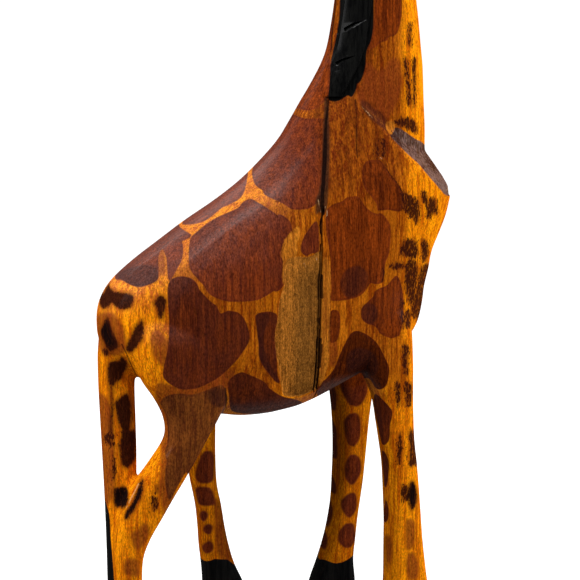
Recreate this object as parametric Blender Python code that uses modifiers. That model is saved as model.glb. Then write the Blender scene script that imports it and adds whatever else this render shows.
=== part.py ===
"""Carved wooden giraffe: two glued blocks, loose ears, joint filler and dowels."""

import math

import bmesh
import bpy
from mathutils import Matrix, Vector

# Lengths are millimetres; MM turns them into metres. +X is the way it faces, +Y its left.
MM = 0.001
GAP = 0.3
HEIGHT = 915.0
SHIFT_X = -2.8

# Horizontal sections: height, back, front, centre in y, half-width, squareness.
TORSO = (
    (221, -62, -8, 0, 30, 2.6),
    (226, -84, 18, 0, 40, 2.6),
    (233, -100, 38, 0, 45, 2.6),
    (242, -112, 60, 0, 48, 2.6),
    (252, -126, 84, 0, 50, 2.6),
    (262, -141, 108, 0, 51, 2.7),
    (275, -157, 122.5, 0, 53, 2.8),
    (290, -167, 134.5, 0, 54, 2.8),
    (310, -169, 140, 0, 55, 2.8),
    (326, -166, 142, 0, 55, 2.8),
    (342, -156, 146, 0, 55, 2.8),
    (359, -136, 149, 0, 55, 2.8),
    (375, -113, 156, 0, 54, 2.8),
    (392, -88, 163, 0, 53, 2.8),
    (409, -60, 167, 0, 52, 2.8),
    (426, -36, 171, 0, 50, 2.8),
    (444, -16, 172, 0, 47, 2.8),
    (462, 1, 170, 0, 44, 2.8),
    (480, 13, 160, 0, 41, 2.8),
    (498, 24, 146, 0, 37, 2.8),
    (516, 36, 134, 0, 33, 2.8),
)
NECK = (
    (395, 34, 142, 0, 34, 2.6),
    (430, 26, 141, 0, 36, 2.6),
    (470, 22, 141, 0, 36, 2.6),
    (498, 25, 139, 0, 36, 2.6),
    (516, 35, 138, 0, 35, 2.6),
    (530, 43, 137, 0, 34, 2.6),
    (545, 49, 135, 0, 33, 2.6),
    (570, 54, 132, 0, 31.5, 2.6),
    (590, 57, 129, 0, 30.5, 2.6),
    (640, 64, 123, 0, 27, 2.6),
    (700, 70, 117, 0, 23.5, 2.6),
    (760, 74, 113, 0, 20.5, 2.6),
    (812, 76, 112, 0, 19, 2.6),
    (842, 73, 113, 0, 18, 2.6),
    (860, 78, 104, 0, 14, 2.4),
)
FORE_RIGHT = (
    (-8, 90, 147, -33, 16, 2.8),
    (10, 91, 145, -33, 16, 2.8),
    (24, 92, 141, -33, 15.5, 2.8),
    (42, 94, 137, -33, 15, 2.8),
    (62, 94, 134, -33, 14.5, 2.8),
    (84, 94, 131, -33, 14.5, 2.8),
    (104, 94, 129, -33, 14.5, 2.8),
    (125, 93, 127, -33, 14.5, 2.8),
    (160, 91, 123, -33, 15, 2.8),
    (180, 88, 120, -33, 15.5, 2.8),
    (200, 85, 119, -32, 16, 2.8),
    (225, 81, 118, -31, 18, 2.8),
    (244, 73, 118, -30, 20, 2.8),
    (262, 66, 118, -29, 21, 2.8),
    (300, 62, 116, -25, 22, 2.8),
    (350, 68, 104, -18, 12, 2.6),
)
FORE_LEFT = (
    (-8, 41, 94, 33, 16, 2.8),
    (10, 42, 93, 33, 16, 2.8),
    (25, 46, 92, 33, 15.5, 2.8),
    (45, 54, 90, 33, 15, 2.8),
    (66, 61, 92, 33, 14.5, 2.8),
    (87, 66, 94, 33, 14.5, 2.8),
    (107, 69, 97, 33, 14.5, 2.8),
    (127, 70, 100, 33, 14.5, 2.8),
    (158, 71, 103, 33, 15, 2.8),
    (188, 70, 106, 33, 15.5, 2.8),
    (215, 67, 109, 32, 17, 2.8),
    (244, 62, 113, 30, 20, 2.8),
    (300, 62, 116, 25, 22, 2.8),
    (350, 68, 104, 18, 12, 2.6),
)
HIND_RIGHT = (
    (-8, -173, -127, -31, 16, 2.8),
    (10, -172, -129, -31, 16, 2.8),
    (24, -171, -134, -31, 15.5, 2.8),
    (42, -169, -141, -31, 14.5, 2.8),
    (62, -168, -145, -31, 14, 2.8),
    (85, -168, -145, -31, 14, 2.8),
    (109, -168, -143, -31, 14.5, 2.8),
    (125, -167, -136, -31, 15, 2.8),
    (141, -164, -126, -32, 15, 2.8),
    (157, -158, -116, -32, 15.5, 2.8),
    (172, -149, -106, -32, 16, 2.8),
    (190, -134, -95, -32, 17, 2.8),
    (209, -121, -84, -32, 18, 2.8),
    (226, -121, -73, -31, 19, 2.8),
    (244, -129, -64, -31, 20, 2.8),
    (264, -141, -60, -30, 22, 2.8),
    (300, -148, -64, -27, 24, 2.8),
    (345, -130, -80, -20, 14, 2.6),
)
HIND_LEFT = (
    (-8, -68, -16, 33, 16, 2.8),
    (10, -67, -18, 33, 16, 2.8),
    (25, -67, -22, 33, 15.5, 2.8),
    (42, -67, -29, 33, 15, 2.8),
    (60, -68, -37, 33, 14.5, 2.8),
    (81, -70, -43, 33, 14.5, 2.8),
    (101, -71, -47, 33, 14.5, 2.8),
    (121, -73, -50, 33, 14.5, 2.8),
    (142, -77, -54, 33, 14.5, 2.8),
    (170, -82, -55, 33, 15, 2.8),
    (200, -89, -55, 32, 16, 2.8),
    (226, -98, -55, 31, 18, 2.8),
    (260, -112, -56, 29, 21, 2.8),
    (300, -130, -64, 27, 23, 2.8),
    (345, -122, -80, 20, 14, 2.6),
)
TAIL = (
    (48, -169, -163, -14, 4, 2.4),
    (70, -170, -160, -14, 7, 2.6),
    (110, -170, -156, -14, 9, 2.8),
    (140, -170, -148, -13, 10.5, 3.0),
    (165, -170, -143, -11, 11.5, 3.0),
    (190, -170, -141, -8, 12, 3.0),
    (220, -170, -140, -4, 12, 3.0),
    (260, -170, -139, 0, 12.5, 3.0),
    (290, -169, -136, 0, 13, 3.0),
    (318, -163, -132, 0, 13, 2.8),
)

# Head sections along its own axis: station, drop below the axis, half-height, half-width.
HEAD_START = (68.0, 859.0)
HEAD_ANGLE = math.radians(-24.0)
HEAD = (
    (0, 0, 9, 8),
    (4, 0, 15, 12.5),
    (14, 0, 21.5, 17),
    (30, 0, 24.5, 19.5),
    (46, 1, 23, 18.5),
    (66, 3, 18.5, 15),
    (86, 5, 15, 12.5),
    (102, 6, 14, 12.5),
    (114, 6.5, 12.5, 12),
    (121, 7, 9, 9),
)
HORN_FOOT = (85.0, 9.5, 868.0)
HORN_TIP = (80.0, 11.5, HEIGHT)
HORN_RADIUS = 5.4
EYE = (38.0, 2.0, 15.0, 20.6, 5.6, 3.8)
MOUTH_CORNER = 97.0
MOUTH_DROP = 11.0
MOUTH_KERF = 1.4
NOSTRIL = (112.0, 1.5, 5.5, 1.5)

# The mane crest stands proud of the nape and is notched from the shoulders to the skull.
MANE_LOW = 500.0
MANE_HIGH = 862.0
MANE_PROUD = 2.6
MANE_DEEP = 22.0
MANE_HALF_WIDTH = 13.0
NOTCH_FIRST = 527.0
NOTCH_PITCH = 34.0
NOTCH_COUNT = 10
NOTCH_MOUTH = 10.0
NOTCH_RISE = 13.0

# The glue plane leans forward with height.
SEAM_FOOT_X = 14.0
SEAM_FOOT_Z = 248.0
SEAM_LEAN = 0.035

# Open part of the joint, near side, and the chipped recess behind it.
SPLIT_LOW = 232.0
SPLIT_HIGH = 398.0
SPLIT_WIDTH = 3.4
SPLIT_FLOOR_Y = -38.0
CHIP_DEPTH = 2.6
CHIP_OUTLINE = (
    (-2, 368),
    (-7, 345),
    (-8, 322),
    (-16, 310),
    (-23, 300),
    (-24, 276),
    (-19, 258),
    (-13, 247),
    (13, 247),
    (17.5, 372),
)
CHIP_SKIN_Y = -53.5

# Filler strip in the upper part of the joint, and the hidden dowels.
FILLER_LOW = 402.0
FILLER_HIGH = 499.0
FILLER_WIDTH = 6.5
FILLER_FLOOR_Y = -26.0
DOWEL_RADIUS = 5.0
DOWEL_HALF_LENGTH = 28.0
DOWEL_HEIGHTS = {"dowel_lower": 268.0, "dowel_middle": 338.0, "dowel_upper": 404.0}

# Ears: a leaf blade with a round tenon in a blind socket.
EAR_ROOT = (77.0, 17.5, 866.0)
EAR_TIP = (64.0, 47.0, 880.0)
EAR_HALF_HEIGHT = 9.0
EAR_THICKNESS = 5.0
EAR_PROFILE = (
    (0.06, 0.42),
    (0.2, 0.75),
    (0.42, 1.0),
    (0.65, 0.86),
    (0.85, 0.5),
    (1, 0.1),
)
TENON_RADIUS = 3.0
TENON_LENGTH = 8.0

VOXEL = 3.0
SMOOTH_PASSES = 6
BODY_TRIANGLES = 6400


def clear_scene():
    for obj in list(bpy.data.objects):
        bpy.data.objects.remove(obj, do_unlink=True)


def ramp(rows, value):
    """The table's row at this height, on a smooth curve through the stations."""
    last = len(rows) - 1
    k = 0
    while k < last - 1 and rows[k + 1][0] <= value:
        k += 1
    before = rows[max(k - 1, 0)]
    low = rows[k]
    high = rows[k + 1]
    after = rows[min(k + 2, last)]
    span = high[0] - low[0]
    t = (value - low[0]) / span
    out = []
    for c in range(1, len(low)):
        rise_low = (high[c] - before[c]) / max(high[0] - before[0], 1e-6) * span
        rise_high = (after[c] - low[c]) / max(after[0] - low[0], 1e-6) * span
        h00 = 2 * t**3 - 3 * t**2 + 1
        h10 = t**3 - 2 * t**2 + t
        h01 = -2 * t**3 + 3 * t**2
        h11 = t**3 - t**2
        out.append(h00 * low[c] + h10 * rise_low + h01 * high[c] + h11 * rise_high)
    return out


def steps(low, high, size):
    count = max(2, int(math.ceil((high - low) / size)))
    return [low + (high - low) * i / count for i in range(count + 1)]


def oval(centre, across, along, half_across, half_along, power, count=32):
    """A superellipse ring; a power of 2 is an ellipse, more is squarer."""
    ring = []
    for i in range(count):
        angle = 2 * math.pi * i / count
        c = math.cos(angle)
        s = math.sin(angle)
        a = math.copysign(abs(c) ** (2 / power), c) * half_across
        b = math.copysign(abs(s) ** (2 / power), s) * half_along
        ring.append(centre + across * a + along * b)
    return ring


def mesh_object(name, points, faces):
    mesh = bpy.data.meshes.new(name)
    mesh.from_pydata([p * MM for p in points], [], faces)
    mesh.validate()
    obj = bpy.data.objects.new(name, mesh)
    bpy.context.scene.collection.objects.link(obj)
    bm = bmesh.new()
    bm.from_mesh(mesh)
    bmesh.ops.recalc_face_normals(bm, faces=bm.faces)
    bm.to_mesh(mesh)
    bm.free()
    return obj


def loft(name, rings):
    count = len(rings[0])
    points = [p for ring in rings for p in ring]
    faces = []
    for r in range(len(rings) - 1):
        for i in range(count):
            j = (i + 1) % count
            low = r * count
            high = low + count
            faces.append((low + i, low + j, high + j, high + i))
    top = (len(rings) - 1) * count
    faces.append(tuple(range(count))[::-1])
    faces.append(tuple(range(top, top + count)))
    return mesh_object(name, points, faces)


def upright(name, rows, size=5.0):
    """A loft through the horizontal sections of a table."""
    rings = []
    for z in steps(rows[0][0], rows[-1][0], size):
        back, front, middle, half_width, power = ramp(rows, z)
        centre = Vector(((back + front) / 2, middle, z))
        rings.append(
            oval(
                centre,
                Vector((1, 0, 0)),
                Vector((0, 1, 0)),
                (front - back) / 2,
                half_width,
                power,
            )
        )
    return loft(name, rings)


def on_head(station, lift=0.0, across=0.0):
    """A point in the head's own frame: along it, above its axis and to its left."""
    forward = Vector((math.cos(HEAD_ANGLE), 0, math.sin(HEAD_ANGLE)))
    up = Vector((-math.sin(HEAD_ANGLE), 0, math.cos(HEAD_ANGLE)))
    start = Vector((HEAD_START[0], across, HEAD_START[1]))
    return start + forward * station + up * lift


def head():
    up = on_head(0, 1) - on_head(0)
    rings = []
    for s in steps(HEAD[0][0], HEAD[-1][0], 3.0):
        drop, half_height, half_width = ramp(HEAD, s)
        centre = on_head(s, -drop)
        rings.append(oval(centre, Vector((0, 1, 0)), up, half_width, half_height, 2.3))
    return loft("head", rings)


def carve_face(body):
    """Raised eyes, a saw-cut mouth and two drilled nostrils."""
    station, lift, inner, outer, long_radius, short_radius = EYE
    forward = on_head(1) - on_head(0)
    up = on_head(0, 1) - on_head(0)
    for side in (-1, 1):
        rings = []
        for share, size in ((0, 1.0), (0.55, 1.0), (0.85, 0.8), (1, 0.4)):
            centre = on_head(station, lift, side * (inner + (outer - inner) * share))
            long_size = long_radius * size
            short_size = short_radius * size
            rings.append(oval(centre, forward, up, long_size, short_size, 2.0, 20))
        combine(body, loft("eye", rings), "UNION")
        station_n, lift_n, across_n, radius_n = NOSTRIL
        low = on_head(station_n - 2.0, lift_n, side * across_n * 0.8)
        high = on_head(station_n + 14.0, lift_n + 4.0, side * across_n * 1.3)
        combine(body, rod("nostril", low, high, radius_n, 12), "DIFFERENCE")
    corners = []
    for station_m, lift_m in (
        (MOUTH_CORNER, -MOUTH_DROP),
        (MOUTH_CORNER + 40.0, -MOUTH_DROP - MOUTH_KERF),
        (MOUTH_CORNER + 40.0, -MOUTH_DROP + MOUTH_KERF),
    ):
        point = on_head(station_m, lift_m)
        corners.append((point.x, point.z))
    combine(body, prism("kerf", corners, -30.0, 30.0), "DIFFERENCE")
    return body


def horn(side):
    foot = Vector((HORN_FOOT[0], HORN_FOOT[1] * side, HORN_FOOT[2]))
    tip = Vector((HORN_TIP[0], HORN_TIP[1] * side, HORN_TIP[2]))
    rings = []
    for share, size in ((0, 1.15), (0.6, 0.92), (0.8, 1.0), (0.94, 0.92), (1, 0.6)):
        rings.append(
            oval(
                foot.lerp(tip, share),
                Vector((1, 0, 0)),
                Vector((0, 1, 0)),
                HORN_RADIUS * size,
                HORN_RADIUS * size,
                2.0,
                16,
            )
        )
    return loft("horn", rings)


def mane():
    """The crest before notching, following the nape."""
    rings = []
    for z in steps(MANE_LOW, MANE_HIGH, 5.0):
        back = ramp(NECK, z)[0]
        share = min(1.0, (z - MANE_LOW) / 30.0)
        top = 1.0 - max(0.0, (z - 700.0) / 420.0)
        proud = MANE_PROUD * share
        half_width = MANE_HALF_WIDTH * top
        front = back + MANE_DEEP * top
        centre = Vector(((back - proud + front) / 2, 0, z))
        rings.append(
            oval(
                centre,
                Vector((1, 0, 0)),
                Vector((0, 1, 0)),
                (front - back + proud) / 2,
                half_width,
                3.2,
            )
        )
    return loft("mane", rings)


def slab(name, centre, sizes, turn=None):
    """A box from its centre, its sizes and an optional rotation."""
    points = []
    for i in range(8):
        corner = Vector(
            (
                (i & 1) - 0.5,
                (i >> 1 & 1) - 0.5,
                (i >> 2 & 1) - 0.5,
            )
        )
        corner = Vector(c * s for c, s in zip(corner, sizes))
        if turn is not None:
            corner = turn @ corner
        points.append(Vector(centre) + corner)
    faces = (
        (0, 2, 3, 1),
        (4, 5, 7, 6),
        (0, 1, 5, 4),
        (2, 6, 7, 3),
        (0, 4, 6, 2),
        (1, 3, 7, 5),
    )
    return mesh_object(name, points, faces)


def prism(name, outline, low_y, high_y):
    """An x-z outline pushed through from one y to another."""
    count = len(outline)
    points = [Vector((x, low_y, z)) for x, z in outline]
    points += [Vector((x, high_y, z)) for x, z in outline]
    faces = [tuple(range(count)), tuple(range(count, 2 * count))[::-1]]
    for i in range(count):
        j = (i + 1) % count
        faces.append((i, i + count, j + count, j))
    return mesh_object(name, points, faces)


def rod(name, low, high, radius, count=24):
    axis = (Vector(high) - Vector(low)).normalized()
    side = axis.orthogonal().normalized()
    other = axis.cross(side)
    rings = []
    for end in (Vector(low), Vector(high)):
        rings.append(oval(end, side, other, radius, radius, 2.0, count))
    return loft(name, rings)


def bake(obj):
    """Turns the object's modifiers into its mesh."""
    graph = bpy.context.evaluated_depsgraph_get()
    graph.update()
    mesh = bpy.data.meshes.new_from_object(obj.evaluated_get(graph), depsgraph=graph)
    obj.modifiers.clear()
    obj.data = mesh
    return obj


def combine(obj, other, operation, keep=False):
    change = obj.modifiers.new(operation.title(), "BOOLEAN")
    change.operation = operation
    change.solver = "EXACT"
    change.object = other
    bake(obj)
    if not keep:
        bpy.data.objects.remove(other, do_unlink=True)
    return obj


def copy_of(obj, name):
    twin = obj.copy()
    twin.data = obj.data.copy()
    twin.name = name
    bpy.context.scene.collection.objects.link(twin)
    return twin


def join(name, pieces):
    """One mesh holding all the given closed shells."""
    bm = bmesh.new()
    for piece in pieces:
        bm.from_mesh(piece.data)
        bpy.data.objects.remove(piece, do_unlink=True)
    mesh = bpy.data.meshes.new(name)
    bm.to_mesh(mesh)
    bm.free()
    obj = bpy.data.objects.new(name, mesh)
    bpy.context.scene.collection.objects.link(obj)
    return obj


def flow(obj, voxel, passes, triangles=None):
    """Melts overlapping shells into one skin and softens their meeting lines."""
    melt = obj.modifiers.new("Melt", "REMESH")
    melt.mode = "VOXEL"
    melt.voxel_size = voxel * MM
    soften = obj.modifiers.new("Soften", "SMOOTH")
    soften.factor = 0.5
    soften.iterations = passes
    bake(obj)
    if triangles:
        thin = obj.modifiers.new("Thin", "DECIMATE")
        thin.ratio = min(1.0, triangles / (2 * len(obj.data.polygons)))
        bake(obj)
    return obj


def seam_x(z):
    return SEAM_FOOT_X + SEAM_LEAN * (z - SEAM_FOOT_Z)


def behind_seam(name, offset, low=-50.0, high=1000.0, left=-200.0, right=200.0):
    """Everything behind the glue plane moved by this offset."""
    outline = (
        (-400, low),
        (seam_x(low) + offset, low),
        (seam_x(high) + offset, high),
        (-400, high),
    )
    return prism(name, outline, left, right)


def beside_seam(name, back, front, low, high, left, right):
    """A bar that follows the glue plane between two offsets from it."""
    outline = (
        (seam_x(low) + back, low),
        (seam_x(low) + front, low),
        (seam_x(high) + front, high),
        (seam_x(high) + back, high),
    )
    return prism(name, outline, left, right)


def shoulder_cut(body):
    """Cuts the sloping ledge from which the neck rises."""
    for side in (-1, 1):
        normal = Vector((0.471, 0.68 * side, 0.563)).normalized()
        across = Vector((0.563, 0, -0.471)).normalized()
        third = normal.cross(across).normalized()
        turn = Matrix((across, third, normal)).transposed()
        point = Vector((104.0, 47.0 * side, 447.0))
        centre = point + normal * 60.0
        cutter = slab("cutter", centre, (400.0, 300.0, 120.0), turn)
        combine(body, cutter, "DIFFERENCE")
    outline = (
        (129, 463),
        (141, 445),
        (150, 429),
        (156, 412),
        (200, 404),
        (260, 404),
        (260, 600),
        (129, 600),
    )
    combine(body, prism("cutter", outline, -200.0, 200.0), "DIFFERENCE")
    return body


def notch_mane(body):
    for i in range(NOTCH_COUNT):
        z = NOTCH_FIRST + NOTCH_PITCH * i
        if z > MANE_HIGH - 8.0:
            break
        back = ramp(NECK, z)[0] - 8.0
        reach = (MANE_DEEP + 7.0) * (1.0 - max(0.0, (z - 700.0) / 420.0))
        outline = (
            (back, z - 3.0),
            (back + reach, z + NOTCH_RISE - 1.0),
            (back, z + NOTCH_MOUTH + 2.0),
        )
        cutter = prism("cutter", outline, -30.0, 30.0)
        combine(body, cutter, "DIFFERENCE")
    return body


def ear(side, name):
    root = Vector((EAR_ROOT[0], EAR_ROOT[1] * side, EAR_ROOT[2]))
    tip = Vector((EAR_TIP[0], EAR_TIP[1] * side, EAR_TIP[2]))
    axis = (tip - root).normalized()
    broad = Vector((0.25, 0, 1)).normalized()
    broad = (broad - axis * broad.dot(axis)).normalized()
    flat = axis.cross(broad).normalized()
    length = (tip - root).length
    rings = []
    for share, size in EAR_PROFILE:
        rings.append(
            oval(
                root + axis * length * share,
                broad,
                flat,
                EAR_HALF_HEIGHT * size,
                EAR_THICKNESS / 2 * (0.55 + 0.45 * size),
                2.0,
                20,
            )
        )
    blade = loft(name, rings)
    low = root - axis * TENON_LENGTH
    tenon = rod("tenon", low, root + axis * length * 0.3, TENON_RADIUS * 0.8, 16)
    combine(blade, tenon, "UNION")
    socket = rod("socket", low - axis * GAP, root + axis * 12.0, TENON_RADIUS, 16)
    return blade, socket


def wood(name, color, roughness):
    material = bpy.data.materials.new(name)
    material.use_nodes = True
    shader = material.node_tree.nodes["Principled BSDF"]
    shader.inputs["Base Color"].default_value = (*color, 1.0)
    shader.inputs["Roughness"].default_value = roughness
    material.diffuse_color = (*color, 1.0)
    return material


def build():
    clear_scene()
    trunk = shoulder_cut(upright("trunk", TORSO))
    crest = notch_mane(mane())
    limbs = [
        upright("fore_right", FORE_RIGHT),
        upright("fore_left", FORE_LEFT),
        upright("hind_right", HIND_RIGHT),
        upright("hind_left", HIND_LEFT),
        upright("tail", TAIL),
        upright("neck", NECK),
        head(),
        horn(-1),
        horn(1),
    ]
    body = join("body", [trunk, *limbs])
    flow(body, VOXEL, SMOOTH_PASSES, BODY_TRIANGLES)
    combine(body, crest, "UNION")
    carve_face(body)
    floor_cut = slab("cutter", (0, 0, -50.0), (900.0, 400.0, 100.0))
    combine(body, floor_cut, "DIFFERENCE")

    ears = []
    for side, name in ((-1, "ear_right"), (1, "ear_left")):
        blade, socket = ear(side, name)
        combine(body, socket, "DIFFERENCE")
        ears.append(blade)

    back = -FILLER_WIDTH
    low = FILLER_LOW
    floor_y = FILLER_FLOOR_Y
    bar_size = (back, -GAP / 2, low, FILLER_HIGH, -200.0, floor_y)
    slot_size = (back - GAP, GAP / 2, low - GAP, 540.0, -200.0, floor_y + GAP)
    filler_bar = beside_seam("bar", *bar_size)
    filler_slot = beside_seam("slot", *slot_size)
    filler = copy_of(body, "seam_filler")
    combine(filler, filler_bar, "INTERSECT")
    combine(body, filler_slot, "DIFFERENCE")

    half = SPLIT_WIDTH / 2
    split_size = (-half, half, SPLIT_LOW, SPLIT_HIGH, -200.0, SPLIT_FLOOR_Y)
    combine(body, beside_seam("split", *split_size), "DIFFERENCE")
    chip = prism("chip", CHIP_OUTLINE, -200.0, CHIP_SKIN_Y + CHIP_DEPTH)
    combine(body, chip, "DIFFERENCE")

    front = copy_of(body, "front_block")
    rear = body
    rear.name = "rear_block"
    combine(rear, behind_seam("half", -GAP / 2), "INTERSECT")
    combine(front, behind_seam("half", GAP / 2), "DIFFERENCE")

    dowels = []
    for name, z in DOWEL_HEIGHTS.items():
        middle = seam_x(z)
        reach = DOWEL_HALF_LENGTH
        low = (middle - reach, 0, z)
        high = (middle + reach, 0, z)
        dowels.append(rod(name, low, high, DOWEL_RADIUS))
        hole_low = (middle - reach - GAP, 0, z)
        hole_high = (middle + reach + GAP, 0, z)
        hole = rod("hole", hole_low, hole_high, DOWEL_RADIUS + GAP)
        combine(rear, hole, "DIFFERENCE", keep=True)
        combine(front, hole, "DIFFERENCE")

    stained = wood("stained_wood", (0.62, 0.26, 0.04), 0.35)
    ear_wood = wood("ear_wood", (0.55, 0.22, 0.04), 0.4)
    putty = wood("dried_glue_filler", (0.09, 0.06, 0.045), 0.8)
    birch = wood("dowel_wood", (0.72, 0.52, 0.3), 0.6)
    group = bpy.data.collections.new("carved_giraffe")
    bpy.context.scene.collection.children.link(group)
    slots = [(front, stained), (rear, stained), (filler, putty)]
    slots += [(blade, ear_wood) for blade in ears]
    slots += [(peg, birch) for peg in dowels]
    for obj, material in slots:
        obj.data.transform(Matrix.Translation((SHIFT_X * MM, 0, 0)))
        obj.data.materials.clear()
        obj.data.materials.append(material)
        obj.data.shade_smooth()
        bpy.context.scene.collection.objects.unlink(obj)
        group.objects.link(obj)


build()
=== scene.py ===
"""Looks of the carved giraffe: stained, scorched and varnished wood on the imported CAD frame."""

import math

import bmesh
import bpy
import numpy as np
from mathutils import Matrix, Vector


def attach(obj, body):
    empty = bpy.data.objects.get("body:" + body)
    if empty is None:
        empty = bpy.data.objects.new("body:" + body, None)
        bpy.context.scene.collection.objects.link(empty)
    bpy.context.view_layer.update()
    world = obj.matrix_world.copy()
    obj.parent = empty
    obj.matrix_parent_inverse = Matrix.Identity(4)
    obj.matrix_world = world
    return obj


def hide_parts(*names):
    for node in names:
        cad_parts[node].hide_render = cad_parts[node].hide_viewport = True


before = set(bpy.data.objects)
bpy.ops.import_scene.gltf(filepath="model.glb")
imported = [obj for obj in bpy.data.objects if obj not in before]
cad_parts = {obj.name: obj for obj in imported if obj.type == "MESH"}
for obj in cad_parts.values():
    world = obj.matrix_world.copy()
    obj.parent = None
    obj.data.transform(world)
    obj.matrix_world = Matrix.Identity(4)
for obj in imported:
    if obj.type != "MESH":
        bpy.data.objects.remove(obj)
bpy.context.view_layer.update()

# Lengths are millimetres; MM turns them into metres. +X is the way it faces, +Y its left.
MM = 0.001
GAP = 0.3
HEIGHT = 915.0
SHIFT_X = -2.8
AHEAD = Vector((1, 0, 0))
LEFT = Vector((0, 1, 0))
UP = Vector((0, 0, 1))

VOXEL = 1.5
SMOOTH_PASSES = 16
SECTION_STEP = 5.0

# Horizontal sections: height, back, front, centre in y, half-width, squareness.
TORSO = (
    (221, -62, -8, 0, 30, 2.6), (226, -84, 18, 0, 40, 2.6), (233, -100, 38, 0, 45, 2.6),
    (242, -112, 60, 0, 48, 2.6), (252, -126, 84, 0, 50, 2.6), (262, -141, 108, 0, 51, 2.7),
    (275, -157, 122.5, 0, 53, 2.8), (290, -167, 134.5, 0, 54, 2.8), (310, -169, 140, 0, 55, 2.8),
    (326, -166, 142, 0, 55, 2.8), (342, -156, 146, 0, 55, 2.8), (359, -136, 149, 0, 55, 2.8),
    (375, -113, 156, 0, 54, 2.8), (392, -88, 163, 0, 53, 2.8), (409, -60, 167, 0, 52, 2.8),
    (426, -36, 171, 0, 50, 2.8), (444, -16, 172, 0, 47, 2.8), (462, 1, 170, 0, 44, 2.8),
    (480, 13, 160, 0, 41, 2.8), (498, 24, 146, 0, 37, 2.8), (516, 36, 134, 0, 33, 2.8),
)
NECK = (
    (395, 34, 142, 0, 34, 2.6), (430, 26, 141, 0, 36, 2.6), (470, 22, 141, 0, 36, 2.6),
    (498, 25, 139, 0, 36, 2.6), (516, 35, 138, 0, 35, 2.6), (530, 43, 137, 0, 34, 2.6),
    (545, 49, 135, 0, 33, 2.6), (570, 54, 132, 0, 31.5, 2.6), (590, 57, 129, 0, 30.5, 2.6),
    (640, 64, 123, 0, 27, 2.6), (700, 70, 117, 0, 23.5, 2.6), (760, 74, 113, 0, 20.5, 2.6),
    (812, 76, 112, 0, 19, 2.6), (842, 73, 113, 0, 18, 2.6), (860, 78, 104, 0, 14, 2.4),
)
FORE_RIGHT = (
    (-8, 90, 147, -33, 16, 2.8), (10, 91, 145, -33, 16, 2.8), (24, 92, 141, -33, 15.5, 2.8),
    (42, 94, 137, -33, 15, 2.8), (62, 94, 134, -33, 14.5, 2.8), (84, 94, 131, -33, 14.5, 2.8),
    (104, 94, 129, -33, 14.5, 2.8), (125, 93, 127, -33, 14.5, 2.8), (160, 91, 123, -33, 15, 2.8),
    (180, 88, 120, -33, 15.5, 2.8), (200, 85, 119, -32, 16, 2.8), (225, 81, 118, -31, 18, 2.8),
    (244, 73, 118, -30, 20, 2.8), (262, 66, 118, -29, 21, 2.8), (300, 62, 116, -25, 22, 2.8),
    (350, 68, 104, -18, 12, 2.6),
)
FORE_LEFT = (
    (-8, 41, 94, 33, 16, 2.8), (10, 42, 93, 33, 16, 2.8), (25, 46, 92, 33, 15.5, 2.8),
    (45, 54, 90, 33, 15, 2.8), (66, 61, 92, 33, 14.5, 2.8), (87, 66, 94, 33, 14.5, 2.8),
    (107, 69, 97, 33, 14.5, 2.8), (127, 70, 100, 33, 14.5, 2.8), (158, 71, 103, 33, 15, 2.8),
    (188, 70, 106, 33, 15.5, 2.8), (215, 67, 109, 32, 17, 2.8), (244, 62, 113, 30, 20, 2.8),
    (300, 62, 116, 25, 22, 2.8), (350, 68, 104, 18, 12, 2.6),
)
HIND_RIGHT = (
    (-8, -173, -127, -31, 16, 2.8), (10, -172, -129, -31, 16, 2.8),
    (24, -171, -134, -31, 15.5, 2.8), (42, -169, -141, -31, 14.5, 2.8),
    (62, -168, -145, -31, 14, 2.8), (85, -168, -145, -31, 14, 2.8),
    (109, -168, -143, -31, 14.5, 2.8), (125, -167, -136, -31, 15, 2.8),
    (141, -164, -126, -32, 15, 2.8), (157, -158, -116, -32, 15.5, 2.8),
    (172, -149, -106, -32, 16, 2.8), (190, -134, -95, -32, 17, 2.8), (209, -121, -84, -32, 18, 2.8),
    (226, -121, -73, -31, 19, 2.8), (244, -129, -64, -31, 20, 2.8), (264, -141, -60, -30, 22, 2.8),
    (300, -148, -64, -27, 24, 2.8), (345, -130, -80, -20, 14, 2.6),
)
HIND_LEFT = (
    (-8, -68, -16, 33, 16, 2.8), (10, -67, -18, 33, 16, 2.8), (25, -67, -22, 33, 15.5, 2.8),
    (42, -67, -29, 33, 15, 2.8), (60, -68, -37, 33, 14.5, 2.8), (81, -70, -43, 33, 14.5, 2.8),
    (101, -71, -47, 33, 14.5, 2.8), (121, -73, -50, 33, 14.5, 2.8), (142, -77, -54, 33, 14.5, 2.8),
    (170, -82, -55, 33, 15, 2.8), (200, -89, -55, 32, 16, 2.8), (226, -98, -55, 31, 18, 2.8),
    (260, -112, -56, 29, 21, 2.8), (300, -130, -64, 27, 23, 2.8), (345, -122, -80, 20, 14, 2.6),
)
TAIL = (
    (48, -169, -163, -14, 4, 2.4), (70, -170, -160, -14, 7, 2.6), (110, -170, -156, -14, 9, 2.8),
    (140, -170, -148, -13, 10.5, 3), (165, -170, -143, -11, 11.5, 3), (190, -170, -141, -8, 12, 3),
    (220, -170, -140, -4, 12, 3), (260, -170, -139, 0, 12.5, 3), (290, -169, -136, 0, 13, 3),
    (318, -163, -132, 0, 13, 2.8),
)

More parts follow.
